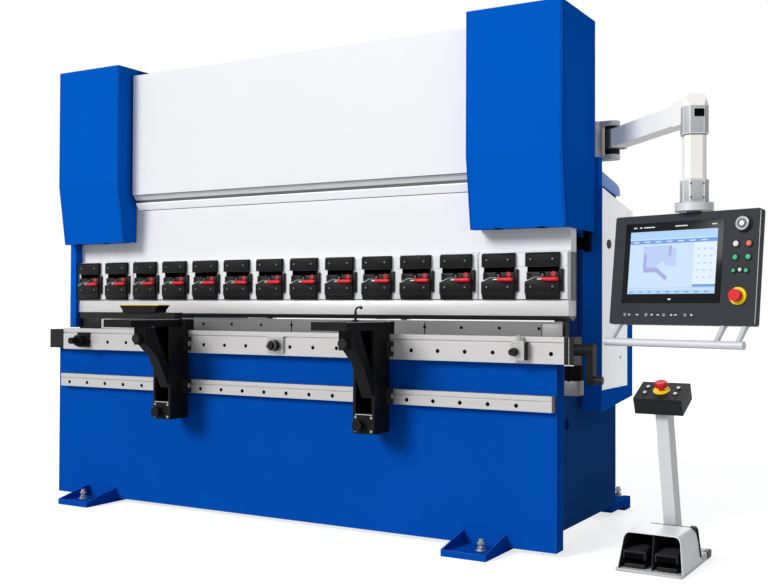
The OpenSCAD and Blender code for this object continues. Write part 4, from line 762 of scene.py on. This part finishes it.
def arm_details(side):
    """Bolts, painted highlights along the edges, and knob ribs of a sheet support arm."""
    arm, knob, lower = part("support_arm_" + side), part("arm_knob_" + side), part("lower_rail")
    body, joint_y = "arm_" + side, lower.y0 - 0.032
    dress(CAST, "support_arm_" + side)
    bolts, light, grips = Shape(), Shape(), Shape()
    left, right, front = arm.x1 - 0.146, arm.x1 - 0.028, lower.y0 - 0.1503
    for z in (part("upper_rail").z0 + 0.05, lower.z0 + 0.04):
        bolts.socket_screw((arm.x1 - 0.006, joint_y, z), RIGHT, 0.0125, 0.0065)
    # light strip along the foot's front edge: a painted highlight
    light.block((left + 0.012, right - 0.012), span(front, -0.001, 0.004), span(arm.z0, 0.0895, 0.0925),
                0.0005)
    for x in (left + 0.016, right - 0.016):
        for z in (arm.z0 + 0.014, arm.z0 + 0.078):
            bolts.socket_screw((x, front, z), FRONT, 0.0065, 0.004)
    # light strips along the top edges: painted highlights
    top = span(arm.z1, -0.0022, 0.0003)
    light.block((arm.x0 + 0.001, min(arm.x0 + 0.189, arm.x1)), span(arm.y0, 0.0002, 0.0045), top, 0.0003)
    light.block(span(arm.x0, 0.1865, 0.1904), (arm.y0, lower.y0 - 0.012), top, 0.0003)
    middle = ((knob.x0 + knob.x1) / 2, (knob.z0 + knob.z1) / 2)
    for x, z in circle(middle, 0.0228, 0.0228, 18):
        grips.rod((x, knob.y0 + 0.002, z), (x, knob.y0 + 0.022, z), 0.0018, 0.0006, 8)
    bolts.done("arm_bolts_" + side, body, ZINC)
    light.done("arm_edge_highlight_" + side, body, ALUMINIUM)
    grips.done("arm_knob_ribs_" + side, "knob_" + side, PLASTIC)


def tray_details():
    """The sheet tray with its yellow rim."""
    tray, width = part("sheet_tray_left"), 0.006
    dress(CAST, "sheet_tray_left")
    rim, z = Shape(), span(tray.z1, -0.004, 0.0004)
    for y in ((tray.y0 - 0.0005, tray.y0 + width), (tray.y1 - width, tray.y1 + 0.0005)):
        rim.block(tray.x, y, z, 0.0008)
    for x in ((tray.x0, tray.x0 + width), (tray.x1 - width, tray.x1)):
        rim.block(x, tray.y, z, 0.0008)
    rim.done("sheet_tray_rim", "arm_left", YELLOW)


# ---------------------------------------------------------------- guards

def guard_details():
    """White sheets over the side guards' rims and the white doors with their locks, glowing with painted
    light, and sheet screws.
    """
    guard = part("side_guards")
    sheets, screws = Shape(), Shape()
    sill, low, high = guard.z0 + 0.103, guard.y0 + 0.001, guard.y1 - 0.001
    top_front, top_back = guard.z0 + 1.075, guard.z0 + 0.995
    white_foot = top_back - 0.31

    def top(y):
        """The sloping upper edge's height."""
        return top_front - (top_front - top_back) * (y - guard.y0) / (guard.y1 - guard.y0)

    for side, name in zip(SIDES, ("left", "right")):
        door, out = part("guard_door_" + name), (side, 0, 0)
        front, seam = door.y0 - 0.002, door.y1 + 0.002
        inner, outer = beyond(side, guard.x1, 0.001, 0.0028)
        sheet = (side * (guard.x1 - 0.002), outer)
        sheets.prism([(low, sill), (front, sill), (front, top(front) - 0.001), (low, top(low) - 0.001)],
                     "x", sheet, 0.0004)
        sheets.prism([(seam + 0.001, white_foot), (high - 0.004, white_foot),
                      (high - 0.004, top(high) - 0.012), (high - 0.016, top(high) - 0.001),
                      (seam + 0.001, top(seam) - 0.001)], "x", sheet, 0.0004)
        for z in (white_foot + 0.03, top_back - 0.06):
            screws.socket_screw((outer, guard.y1 - 0.035, z), out, 0.005, 0.002)
        leaf, lock = Shape(), Shape()
        for foot, drop, x, rounding in ((0.004, 0.034, beyond(side, guard.x1, -0.02, -0.001), 0.002),
                                        (0.002, 0.001, (inner, outer), 0.0004)):
            leaf.prism([(door.y0, sill + foot), (door.y1, sill + foot), (door.y1, top(door.y1) - drop),
                        (door.y0, top(door.y0) - drop)], "x", x, rounding)
        leaf.block((side * (guard.x1 - 0.004), inner + side * 0.0004), (door.y0 + 0.02, door.y1 - 0.02),
                   (sill + 0.02, top_back - 0.05), 0)
        x, y = side * (guard.x1 - 0.0105), door.y1 - 0.012
        for z in (sill - 0.018, top(door.y1) - 0.036):
            leaf.rod((x, y, z), (x, y, z + 0.024), 0.005)
        face, lock_y, lock_z = side * (guard.x1 + 0.0024), guard.y0 + 0.092, top_front - 0.267
        lock.prism(circle((lock_y, lock_z), 0.031, 0.0225, 24), "x", (face, face + side * 0.0045), 0.001)
        lock.turned((face + side * 0.004, lock_y, lock_z), out,
                    [(0, 0.014), (0.0012, 0.0135), (0.0012, 0.007), (0.0004, 0.006), (0.0004, 0)], 28)
        lock.turned((face, guard.y0 + 0.277, guard.z0 + 0.252), out,
                    [(0, 0.008), (0.0012, 0.007), (0.0014, 0)], 20)
        leaf.done("guard_door_leaf_" + name, "door_" + name, WHITE_PAINTED_GLOW, "guard_door_" + name)
        lock.done("guard_door_lock_" + name, "door_" + name, PLASTIC)
    sheets.done("guard_fixed_sheets", "root", WHITE_PAINTED_GLOW)
    screws.done("guard_sheet_screws", "root", ZINC)


# ---------------------------------------------------------------- pendant and control panel

ELBOW_TURN = math.radians(26)
SCREEN_X, SCREEN_Z, SCREEN_PROUD = -0.05, 0.028, 0.00385    # the screen's middle on the panel's face


def chamfered(width, cut=0.22):
    """The outline of a square tube with its corners cut off."""
    half, edge = width / 2, width / 2 - width * cut
    return [(-half, -edge), (-edge, -half), (edge, -half), (half, -edge), (half, edge), (edge, half),
            (-edge, half), (-half, edge)]


def pendant_details():
    """Bracket and pale arm, dark hub, cast elbow with its window, coupling, neck and disc."""
    dress(ALUMINIUM, "pendant_bracket")
    # the arm's glow is painted light
    dress(PALE_BEAM_GLOW, "pendant_arm")
    swivel, pivot = (Vector(joints[name]["pos_m"]) for name in ("panel_swivel", "pendant_swing"))
    foot, low = part("pendant_arm").z0, pivot.z - 0.1003
    turn = Matrix.Translation((swivel.x, swivel.y, 0)) @ Matrix.Rotation(ELBOW_TURN, 4, "Z")
    elbow, window, seam, coupling, screws = [Shape(turn) for _ in range(5)]
    # cast elbow, a hair outside the arm's own surface
    elbow.prism(chamfered(0.1068), "z", (low, pivot.z + 0.02), 0.004)
    elbow.done("elbow_casting", "pendant", ELBOW_GREY)
    window.block((-0.012, 0.03), (-0.0546, -0.05), span(pivot.z, -0.03, 0.004), 0.004)
    window.done("elbow_window", "pendant", SHADE_AND_BLACK)
    seam.prism(chamfered(0.0912), "z", (low - 0.0035, low), 0.0005)
    seam.prism(chamfered(0.0915), "z", span(foot, 0.098, 0.1005), 0.0005)
    seam.done("drop_tube_seams", "pendant", MACHINE_STEEL)
    coupling.prism(chamfered(0.1087), "z", span(foot, 0.0006, 0.0982), 0.005)
    coupling.done("coupling_casting", "pendant", ELBOW_GREY)
    for x in (-0.026, 0.026):
        for z in (foot + 0.02, foot + 0.078):
            screws.socket_screw((x, -0.0543, z), FRONT, 0.0045, 0.0015)
    screws.done("coupling_screws", "pendant", SCREW_GREY)
    disc, neck, hub = Shape(), Shape(), Shape()
    disc.turned((swivel.x, swivel.y, foot - 0.0362), UP,
                [(0, 0.03), (0, 0.0785), (0.0015, 0.0797), (0.0335, 0.0797), (0.0356, 0.078),
                 (0.0356, 0.03)], 48)
    disc.done("swivel_disc", "panel", ALUMINIUM)
    neck.turned((swivel.x, swivel.y, foot - 0.06), UP, [(0, 0.0308), (0.024, 0.0308), (0.024, 0.029)])
    neck.done("swivel_neck", "panel", MACHINE_STEEL)
    along = Vector((swivel.x - pivot.x, swivel.y - pivot.y, 0)).normalized()
    band = Shape(Matrix.Translation(pivot) @ Matrix.Rotation(math.atan2(along.y, along.x), 4, "Z"))
    for x, half, rounding in (((0.058, 0.06), 0.0465, 0.0005), ((0.066, 0.068), 0.0465, 0.0005),
                              ((0.03, 0.056), 0.0468, 0.002)):
        band.block(x, about(0, half), about(0, half), rounding)
    band.done("beam_seams", "pendant", MACHINE_STEEL)
    hub.turned((pivot.x, pivot.y, pivot.z - 0.0735), UP,
               [(0, 0.02), (0, 0.0345), (0.003, 0.0368), (0.144, 0.0368), (0.147, 0.0345),
                (0.147, 0.02)], 36)
    hub.done("pendant_hub_sleeve", "pendant", PLASTIC)


def panel_place():
    """The control panel's own axes: x along it, y into it and z up it, from the middle of its face."""
    corners = [vertex.co for vertex in nodes["screen"].data.vertices]
    inward = Vector(joints["panel_stop_push"]["axis"])
    along = Vector((0, 0, 1)).cross(inward).normalized() * -1
    up = along.cross(inward)
    axes = Matrix((along, inward, up)).transposed().to_4x4()
    middle = sum(corners, Vector()) / len(corners)
    axes.translation = middle - along * SCREEN_X - up * SCREEN_Z - inward * SCREEN_PROUD
    return axes


def panel_details():
    """Bezel, lit screen with plain fields and a drawn bend, buttons, icons and the handle."""
    place = panel_place()
    dress(CASE, "control_panel")
    dress(ALUMINIUM, "panel_handle")
    dress(CHROME, "panel_selector")
    dress(RED, "panel_estop")
    bezel, corner = Shape(place), Shape(place)
    x0, x1 = about(SCREEN_X, 0.2345)
    z0, z1 = about(SCREEN_Z, 0.1745)
    bezel.block((x0, x1), (-0.0004, 0.007), (z0, z1), 0.0006)
    bezel.done("screen_bezel", "panel", BEZEL, "screen")
    lit_screen(place, x0 + 0.028, x1 - 0.026, z0 + 0.04, z1 - 0.038)
    panel_marks(place, x0 + 0.028, x1 - 0.026, z0, z1)
    panel_buttons(place)
    corner.block((0.3385, 0.3404), (-0.0004, 0.002), (-0.228, 0.228), 0.0004)
    corner.done("panel_bright_edge", "panel", ALUMINIUM)


def lit_screen(place, left, right, low, high):
    """The lit area inside the bezel; its fields are given as parts of its width and height."""
    fields, width, height = {}, right - left, high - low

    def layered(material, layer):
        """The material's shape so far, and how deep a layer of it lies."""
        shape = fields.setdefault(material.name, (material, Shape(place)))[1]
        return shape, (-0.0006 - layer * 0.00025, 0.0)

    def drawn(material, points, layer):
        shape, depth = layered(material, layer)
        shape.prism([(left + a * width, low + b * height) for a, b in points], "y", depth, 0)

    def field(material, a, b, c, d, layer=2):
        shape, depth = layered(material, layer)
        shape.block((left + a * width, left + b * width), depth, (low + c * height, low + d * height), 0)

    field(SCREEN_PALE, 0, 1, 0, 1, 1)
    field(SCREEN_TOP, 0, 1, 0.88, 1)
    field(SCREEN_BAR, 0, 1, 0.8, 0.86)
    field(SCREEN_WHITE, 0.75, 1, 0.14, 0.8)
    field(SCREEN_BAR, 0.75, 1, 0.105, 0.145, 3)
    field(SCREEN_MIST, 0, 1, 0.085, 0.097)
    field(SCREEN_TOP, 0, 1, 0.0, 0.06)
    drawn(SCREEN_MIST, [(0.17, 0.76), (0.45, 0.77), (0.55, 0.7), (0.55, 0.44), (0.44, 0.44), (0.4, 0.52),
                        (0.3, 0.42), (0.17, 0.4)], 2)
    drawn(SCREEN_LILAC, [(0.175, 0.66), (0.205, 0.62), (0.205, 0.42), (0.33, 0.42), (0.46, 0.27),
                         (0.44, 0.21), (0.325, 0.345), (0.175, 0.345)], 3)
    drawn(SCREEN_LILAC, [(0.465, 0.76), (0.495, 0.76), (0.495, 0.62), (0.482, 0.565), (0.465, 0.62)], 3)
    for i in range(9):
        field(SCREEN_BAR, 0.03 + 0.107 * i, 0.07 + 0.107 * i, 0.02, 0.04, 3)
    for row in range(5):
        for column in range(3):
            a, c = span(0.07 * column, 0.79, 0.815), span(0.11 * row, 0.24, 0.262)
            field(SCREEN_MIST, *a, *c, 3)
    for i in range(7):
        field(SCREEN_WHITE, 0.04 + 0.13 * i, 0.11 + 0.13 * i, 0.822, 0.838, 3)
    for name, (material, shape) in fields.items():
        shape.done("display_" + name, "panel", material)


def panel_marks(place, left, right, low, high):
    """Plain marks in place of lettering on the bezel, and the icons below it."""
    marks, width, icon_z, icon_y = Shape(place), right - left, -0.196, (-0.0006, 0.0)
    for a, b in ((0.03, 0.07), (0.1, 0.13), (0.15, 0.28), (0.52, 0.66), (0.93, 0.985)):
        marks.block((left + a * width, left + b * width), (-0.0007, 0.0), span(high, -0.022, -0.017), 0)
    marks.block((-0.056, -0.042), (-0.0007, 0.0), span(low, 0.014, 0.02), 0)
    icons = (-0.262, -0.238, -0.2, -0.156, -0.126, -0.098, -0.07, -0.032, -0.014, 0.03, 0.062)
    hoop = [(0, 0.0062), (0.0006, 0.0062), (0.0006, 0.0045), (0, 0.0045)]
    for i, x in enumerate(icons):
        if i % 3 == 0:
            marks.turned((x, 0.0, icon_z), FRONT, hoop, 20)
        elif i % 3 == 1:
            marks.prism([(x - 0.006, -0.201), (x + 0.006, icon_z), (x - 0.006, -0.191)], "y", icon_y, 0)
        else:
            marks.block(about(x, 0.006), icon_y, span(icon_z, -0.0025, 0.0025), 0)
    marks.done("panel_marks", "panel", BUTTON_WHITE)


def panel_buttons(place):
    """Lit push buttons with dark collars, the yellow ring and the selector's dial."""
    column, dial_z = 0.272, 0.175
    collars, white_caps, orange_cap, green_caps, ring, dial, cap = [Shape(place) for _ in range(7)]
    for caps, across, up, radius in ((white_caps, -0.03, 0.095, 0.013),
                                     (orange_cap, 0.026, 0.095, 0.013),
                                     (green_caps, -0.03, 0.04, 0.012),
                                     (green_caps, 0.026, 0.04, 0.012),
                                     (green_caps, -0.034, -0.015, 0.009),
                                     (white_caps, -0.006, -0.012, 0.009),
                                     (green_caps, 0.02, -0.015, 0.01)):
        spot, edge = (column + across, 0.0, up), radius - 0.001
        collars.ring(spot, FRONT, 0.005, radius + 0.003, edge)
        caps.turned(spot, FRONT, [(0, edge), (0.006, edge), (0.009, radius * 0.7), (0.0095, 0)], 28)
    collars.ring((column, 0.0, dial_z), FRONT, 0.004, 0.036, 0.02)
    collars.done("panel_button_collars", "panel", PLASTIC, "panel_buttons")
    white_caps.done("panel_white_buttons", "panel", BUTTON_WHITE)
    orange_cap.done("panel_orange_button", "panel", BUTTON_ORANGE)
    green_caps.done("panel_green_buttons", "panel", BUTTON_GREEN)
    ring.ring((column - 0.008, 0.0, -0.118), FRONT, 0.01, 0.036, 0.017)
    ring.done("panel_yellow_ring", "panel", YELLOW)
    dial.ring((column, -0.022, dial_z), FRONT, 0.003, 0.019, 0.013)
    dial.done("selector_dial", "selector", MACHINE_STEEL)
    cap.ring((column, -0.0222, dial_z), FRONT, 0.0016, 0.0115, 0.0006)
    cap.done("selector_cap", "selector", ALUMINIUM)


# ---------------------------------------------------------------- pedal station

PLATE_TOP = 0.0125                           # top of the thin plate that the pedals stand over
SHROUD_LOW, SHROUD_TOP = 0.025, 0.164        # heights between which the cover's front and back lean
SHROUD_HALF, SHROUD_TAPER, SHROUD_CORNER = 0.1385, 0.018, 0.026
SHROUD_FRONT, FRONT_LEAN, SHROUD_BACK, BACK_LEAN = -0.2305, 0.033, 0.0845, 0.063


def pedal_axes():
    """The pedal station's own axes: its base's middle on the floor, turned with the pedals' axle."""
    base = part("pedal_base")
    axle = Vector(joints["pedal_left_press"]["axis"])
    turn = math.atan2(math.copysign(1, axle.x) * axle.y, abs(axle.x))
    middle = ((base.x0 + base.x1) / 2, (base.y0 + base.y1) / 2, 0)
    return Matrix.Translation(middle) @ Matrix.Rotation(turn, 4, "Z")


def shroud_front(z):
    """The y of the pedal cover's leaning front edge."""
    return SHROUD_FRONT + FRONT_LEAN * (z - SHROUD_LOW) / (SHROUD_TOP - SHROUD_LOW)


def shroud_back(z):
    """The y of the pedal cover's leaning back."""
    return SHROUD_BACK - BACK_LEAN * (z - SHROUD_LOW) / (SHROUD_TOP - SHROUD_LOW)


def shroud_outline(cut):
    """The cover seen from the front, cut in from its surface: left foot, rounded top, right foot."""
    half, radius = SHROUD_HALF - cut, SHROUD_CORNER - cut
    side, bend_z = half - SHROUD_TAPER, SHROUD_TOP - cut - radius
    points = [(half, PLATE_TOP - 0.0003), (side + 0.002, bend_z)]
    for i in range(1, 7):
        turn = math.pi / 2 * i / 6
        points.append((side - radius + radius * math.cos(turn), bend_z + radius * math.sin(turn)))
    points += [(0.0, SHROUD_TOP - cut)]
    return [(-x, z) for x, z in points] + points[-2::-1]


def shroud_shell(place, inset, thickness):
    """The cover's bent sheet, or its lining where inset, tapered to the top and open at the front."""
    shape, piece = Shape(place), bmesh.new()

    def loop(cut, edge, shift):
        return [piece.verts.new((x, edge(z) + shift, z)) for x, z in shroud_outline(cut)]

    outer_front, outer_back = loop(inset, shroud_front, inset), loop(inset, shroud_back, -inset)
    inner_front = loop(inset + thickness, shroud_front, inset)
    inner_back = loop(inset + thickness, shroud_back, -inset - thickness)
    last = len(outer_front) - 1
    for i in range(last):
        j = i + 1
        piece.faces.new([outer_front[i], outer_front[j], outer_back[j], outer_back[i]])
        piece.faces.new([inner_front[j], inner_front[i], inner_back[i], inner_back[j]])
        piece.faces.new([inner_front[i], inner_front[j], outer_front[j], outer_front[i]])
    piece.faces.new(outer_back)
    piece.faces.new(inner_back)
    for i in (0, last):
        piece.faces.new([outer_front[i], outer_back[i], inner_back[i], inner_front[i]])
    shape.join(piece, 0)
    return shape


def pedal_details():
    """Rounded pedal cover with its inside painted dark as shade, base plate and mat, ribbed pedals and
    button box.
    """
    place = pedal_axes()
    dress(PALE_GREY, "pedal_base")
    dress(POST_WHITE, "pedal_post")
    dress(BOX_BLACK, "pedal_box")
    cover_place = place @ Matrix.Translation((0.006, 0, 0))
    shroud_shell(cover_place, 0.0, 0.0035).done("pedal_cover", "root", WHITE, "pedal_shroud")
    # dark lining inside the cover: painted shade
    liner, under = shroud_shell(cover_place, 0.0042, 0.0008), SHROUD_TOP - 0.006
    liner.prism([(shroud_front(PLATE_TOP) + 0.022, PLATE_TOP), (shroud_back(PLATE_TOP) - 0.004, PLATE_TOP),
                 (shroud_back(under) - 0.004, under), (shroud_front(under) + 0.014, under)],
                "x", (0.0005, 0.005), 0.0006)
    liner.done("pedal_cover_inside_shade", "root", INSIDE_SHADE)
    # thin base plate under the pedals, on a dark mat, and a thicker rear part that carries the post
    half, back, base_top = 0.1448, 0.2323, 0.035
    plate, mat = Shape(place), Shape(place)
    outline = []
    for x, y in rounded_outline(half, back, 0.014):
        skew = 0.011 * (x / half + 1) / 2 if y < 0 else 0    # the front edge comes forward to the right
        outline.append((x, y - skew))
    plate.prism(outline, "z", (0.0028, PLATE_TOP), 0.002)
    plate.block(about(0, half - 0.001), (0.07, back), (0.003, base_top), 0.002)
    mat.prism(rounded_outline(half - 0.004, back - 0.004, 0.01), "z", (0.0001, 0.0032), 0.0005)
    plate.done("station_base_plate", "root", PALE_GREY, "pedal_base")
    mat.block(span(half, -0.022, 0.0002), span(back, -0.075, 0.0002), (0.003, base_top + 0.0006), 0.001)
    # black plate that closes the cover's back, a little larger than the cover at its right
    low_y, high_y = shroud_back(PLATE_TOP), shroud_back(SHROUD_TOP)
    low_z, high_z = base_top - 0.001, SHROUD_TOP + 0.001
    mat.prism([(low_y - 0.001, low_z), (low_y + 0.011, low_z), (high_y + 0.011, high_z),
               (high_y - 0.001, high_z)], "x", (-0.066, 0.127), 0.001)
    mat.prism([(0.12, low_z), (0.1465, low_z), (0.1315, SHROUD_TOP - 0.012), (0.122, high_z),
               (0.1, high_z)], "y", span(shroud_back(0.1), -0.001, 0.011), 0.001)
    mat.done("station_black_parts", "root", PLASTIC)
    pedal_boxes(place)
    box_details(place)


def rounded_outline(half, back, radius):
    """A rectangle of (x, y) points about the middle, with rounded corners."""
    points = []
    for x, y, start in ((half - radius, back - radius, 0), (radius - half, back - radius, 90),
                        (radius - half, radius - back, 180), (half - radius, radius - back, 270)):
        for i in range(5):
            turn = math.radians(start + 22.5 * i)
            points.append((x + radius * math.cos(turn), y + radius * math.sin(turn)))
    return points


def pedal_boxes(place):
    """Skirts and ribs on the pedals, and the low fixed sills under them, with painted shade in the pedals'
    hollows and behind the sills.
    """
    lip, half = -0.2085, 0.048                   # front edge of a pedal, and half its width
    inner, sill_y, sill_z = half - 0.0065, lip + 0.0045, (PLATE_TOP, 0.0315)
    frames, backs = Shape(place), Shape(place)
    for name in ("left", "right"):
        pedal, skirt, hollow = part("pedal_" + name), Shape(place), Shape(place)
        middle = Vector(((pedal.x0 + pedal.x1) / 2, (pedal.y0 + pedal.y1) / 2, 0))
        tread = (place.inverted() @ middle).x
        ribs, sill = about(tread, half - 0.006), about(tread, inner)
        for side in SIDES:
            skirt.prism([(lip + 0.001, 0.083), (lip + 0.001, 0.052), (lip + 0.125, 0.062),
                         (lip + 0.125, 0.09)], "x", (tread + side * (half - 0.004), tread + side * half),
                        0.0006)
            skirt.block((tread + side * half, tread + side * (half - 0.006)), span(lip, -0.003, 0.004),
                        (0.0535, 0.084), 0.001)
        skirt.block(about(tread, half), span(lip, -0.003, 0.006), (0.0785, 0.0862), 0.0012)
        for i in range(7):
            y = lip + 0.014 + 0.0145 * i
            z = 0.0852 + 0.0094 * (y + 0.2065) / 0.106
            skirt.block(ribs, (y, y + 0.004), span(z, -0.001, 0.0012), 0.0005)
        skirt.done("pedal_skirt_" + name, "pedal_" + name, PEDAL_EDGE)
        # dark panel in the pedal's front opening: painted shade in its hollow
        hollow.block(ribs, span(lip, -0.0004, 0.0035), (0.0545, 0.0788), 0)
        hollow.done("pedal_hollow_shade_" + name, "pedal_" + name, SHADE_AND_BLACK)
        frames.block(sill, (sill_y, lip + 0.0115), sill_z, 0.0012)
        for side in SIDES:
            for width, length, rounding in ((0.006, 0.03, 0.0012), (0.003, 0.15, 0.0006)):
                frames.block((tread + side * inner, tread + side * (inner - width)), (sill_y, lip + length),
                             sill_z, rounding)
        # dark floor and back panel behind each sill: painted shade inside the cover
        backs.block(sill, span(lip, 0.009, 0.185), (PLATE_TOP, PLATE_TOP + 0.0012), 0)
        backs.block(sill, span(lip, 0.18, 0.182), (PLATE_TOP, 0.033), 0)
    backs.done("pedal_frame_back_shade", "root", SHADE_AND_BLACK)
    frames.done("pedal_frames", "root", PEDAL_EDGE)


# the leaning post and the box that it carries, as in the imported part; the turns are in degrees
BOX_FOOT_Z, POST_Y, POST_LEAN, POST_LENGTH, BOX_TILT, BOX_HEIGHT = 0.032, 0.162, 14.4, 0.673, 9.0, 0.075


def box_details(place):
    """White buttons, yellow ring and red mushroom head on the sloping top of the station's box."""
    lean, tilt = (Matrix.Rotation(math.radians(turn), 4, "X") for turn in (POST_LEAN, BOX_TILT))
    foot, along = Matrix.Translation((0, POST_Y, BOX_FOOT_Z)), Matrix.Translation((0, -0.003, POST_LENGTH))
    box = place @ (foot @ lean @ along @ tilt)
    buttons, collars, ring, head, seam = [Shape(box) for _ in range(5)]
    for x in (-0.066, 0.066):
        for y in (-0.027, 0.027):
            collars.ring((x, y, BOX_HEIGHT), UP, 0.003, 0.0115, 0.0085)
            buttons.turned((x, y, BOX_HEIGHT + 0.002), UP,
                           [(0, 0.0084), (0.0035, 0.0084), (0.0052, 0.0066), (0.0056, 0)], 24)
    buttons.done("station_buttons", "root", BUTTON_WHITE)
    collars.done("station_button_collars", "root", PLASTIC)
    ring.turned((0, 0, BOX_HEIGHT + 0.0002), UP,
                [(0, 0.0368), (0.004, 0.0368), (0.0055, 0.0352), (0.0055, 0.0125), (0.0047, 0.0125)], 40)
    ring.done("station_yellow_ring", "root", YELLOW)
    head.turned((0, 0, BOX_HEIGHT + 0.0115), UP,
                [(0, 0.015), (0.005, 0.016), (0.009, 0.02), (0.0105, 0.0262), (0.0125, 0.0278),
                 (0.025, 0.0282), (0.0285, 0.0268), (0.0305, 0.0235), (0.0308, 0.02), (0.03, 0.012),
                 (0.03, 0)], 40)
    head.rod((0, 0, 0.041), (0, 0, BOX_HEIGHT + 0.013), 0.0118)
    head.done("station_stop_head", "pedal_stop", RED, "pedal_estop")
    seam.block(about(0, 0.1043), about(0, 0.0793), span(BOX_HEIGHT, -0.0125, -0.0115), 0)
    seam.done("station_box_seam", "root", SHADE_AND_BLACK)


# ---------------------------------------------------------------- studio

def studio():
    """White world, one soft key light from the front left and a weak one from behind."""
    world = bpy.data.worlds.new("studio")
    bpy.context.scene.world = world
    world.use_nodes = True
    tree = world.node_tree
    ambient = tree.nodes["Background"]
    wire(tree, ambient, {"Color": (0.97, 0.98, 1.0, 1), "Strength": 0.37})
    plain = add(tree, "Background", {"Color": (1, 1, 1, 1)})
    mix = add(tree, "MixShader", {"Fac": seen_directly(tree), 1: ambient.outputs["Background"],
                                  2: plain.outputs["Background"]})
    wire(tree, tree.nodes["World Output"], {"Surface": mix.outputs["Shader"]})
    lamp("key", (-0.45, -0.9, 0.5), 2.15, 22)
    lamp("rear_fill", (-0.35, 0.9, 0.5), 0.9, 40)


def seen_directly(tree):
    """1 for rays that show the background itself: camera, glossy and transmission rays."""
    rays = add(tree, "LightPath", {}).outputs
    total = rays["Is Camera Ray"]
    for name in ("Is Glossy Ray", "Is Transmission Ray"):
        total = add(tree, "Math", {0: total, 1: rays[name]}, operation="MAXIMUM").outputs["Value"]
    return total


def linked(name, data):
    """A new object in the scene."""
    made = bpy.data.objects.new(name, data)
    bpy.context.scene.collection.objects.link(made)
    return made


def lamp(name, towards, strength, softness):
    """A wide, soft sun that shines from the given direction."""
    light = bpy.data.lights.new(name, "SUN")
    light.energy = strength
    light.angle = math.radians(softness)
    holder = linked(name, light)
    holder.rotation_mode = "QUATERNION"
    holder.rotation_quaternion = Vector(towards).to_track_quat("Z", "Y")


def floor():
    """A wide pale floor that meets the white background and keeps the part's shadow."""
    mesh = bpy.data.meshes.new("floor")
    reach, level = 60.0, cad_box[0].z - 0.0005
    corners = [(-reach, -reach, level), (reach, -reach, level), (reach, reach, level),
               (-reach, reach, level)]
    mesh.from_pydata(corners, [], [(0, 1, 2, 3)])
    material = bpy.data.materials.new("pale_floor")
    material.use_nodes = True
    tree = material.node_tree
    tree.nodes.remove(tree.nodes["Principled BSDF"])
    matte = add(tree, "BsdfDiffuse", {"Color": (0.6, 0.6, 0.6, 1)})
    lift = add(tree, "Emission", {"Strength": ranged(tree, seen_directly(tree), 0, 0.7, 0, 1)})
    both = add(tree, "AddShader", {0: matte.outputs["BSDF"], 1: lift.outputs["Emission"]})
    wire(tree, tree.nodes["Material Output"], {"Surface": both.outputs["Shader"]})
    mesh.materials.append(material)
    linked("floor", mesh)


def camera():
    """In front of the right end, at chest height, turned to the left."""
    lens = bpy.data.cameras.new("camera")
    lens.sensor_width = 36
    lens.lens = 49.2
    lens.dof.use_dof = False
    holder = linked("camera", lens)
    holder.location = (3.223, -4.303, 1.101)
    turn, tilt, roll = math.radians(30.12), math.radians(0.86), math.radians(0.25)
    aim = Matrix.Rotation(turn, 3, "Z") @ Matrix.Rotation(math.pi / 2 + tilt, 3, "X")
    holder.rotation_euler = (aim @ Matrix.Rotation(roll, 3, "Z")).to_euler()
    bpy.context.scene.camera = holder


bpy.context.scene.view_settings.view_transform = "Standard"
studio()
floor()
camera()
dress_frame()
foot_details()
shoulder_details()
cover_details()
throat_details()
ram_details()
clamp_details()
bed_details()
back_details()
rail_details()
stop_details()
arm_details("left")
arm_details("right")
tray_details()
guard_details()
pendant_details()
panel_details()
pedal_details()
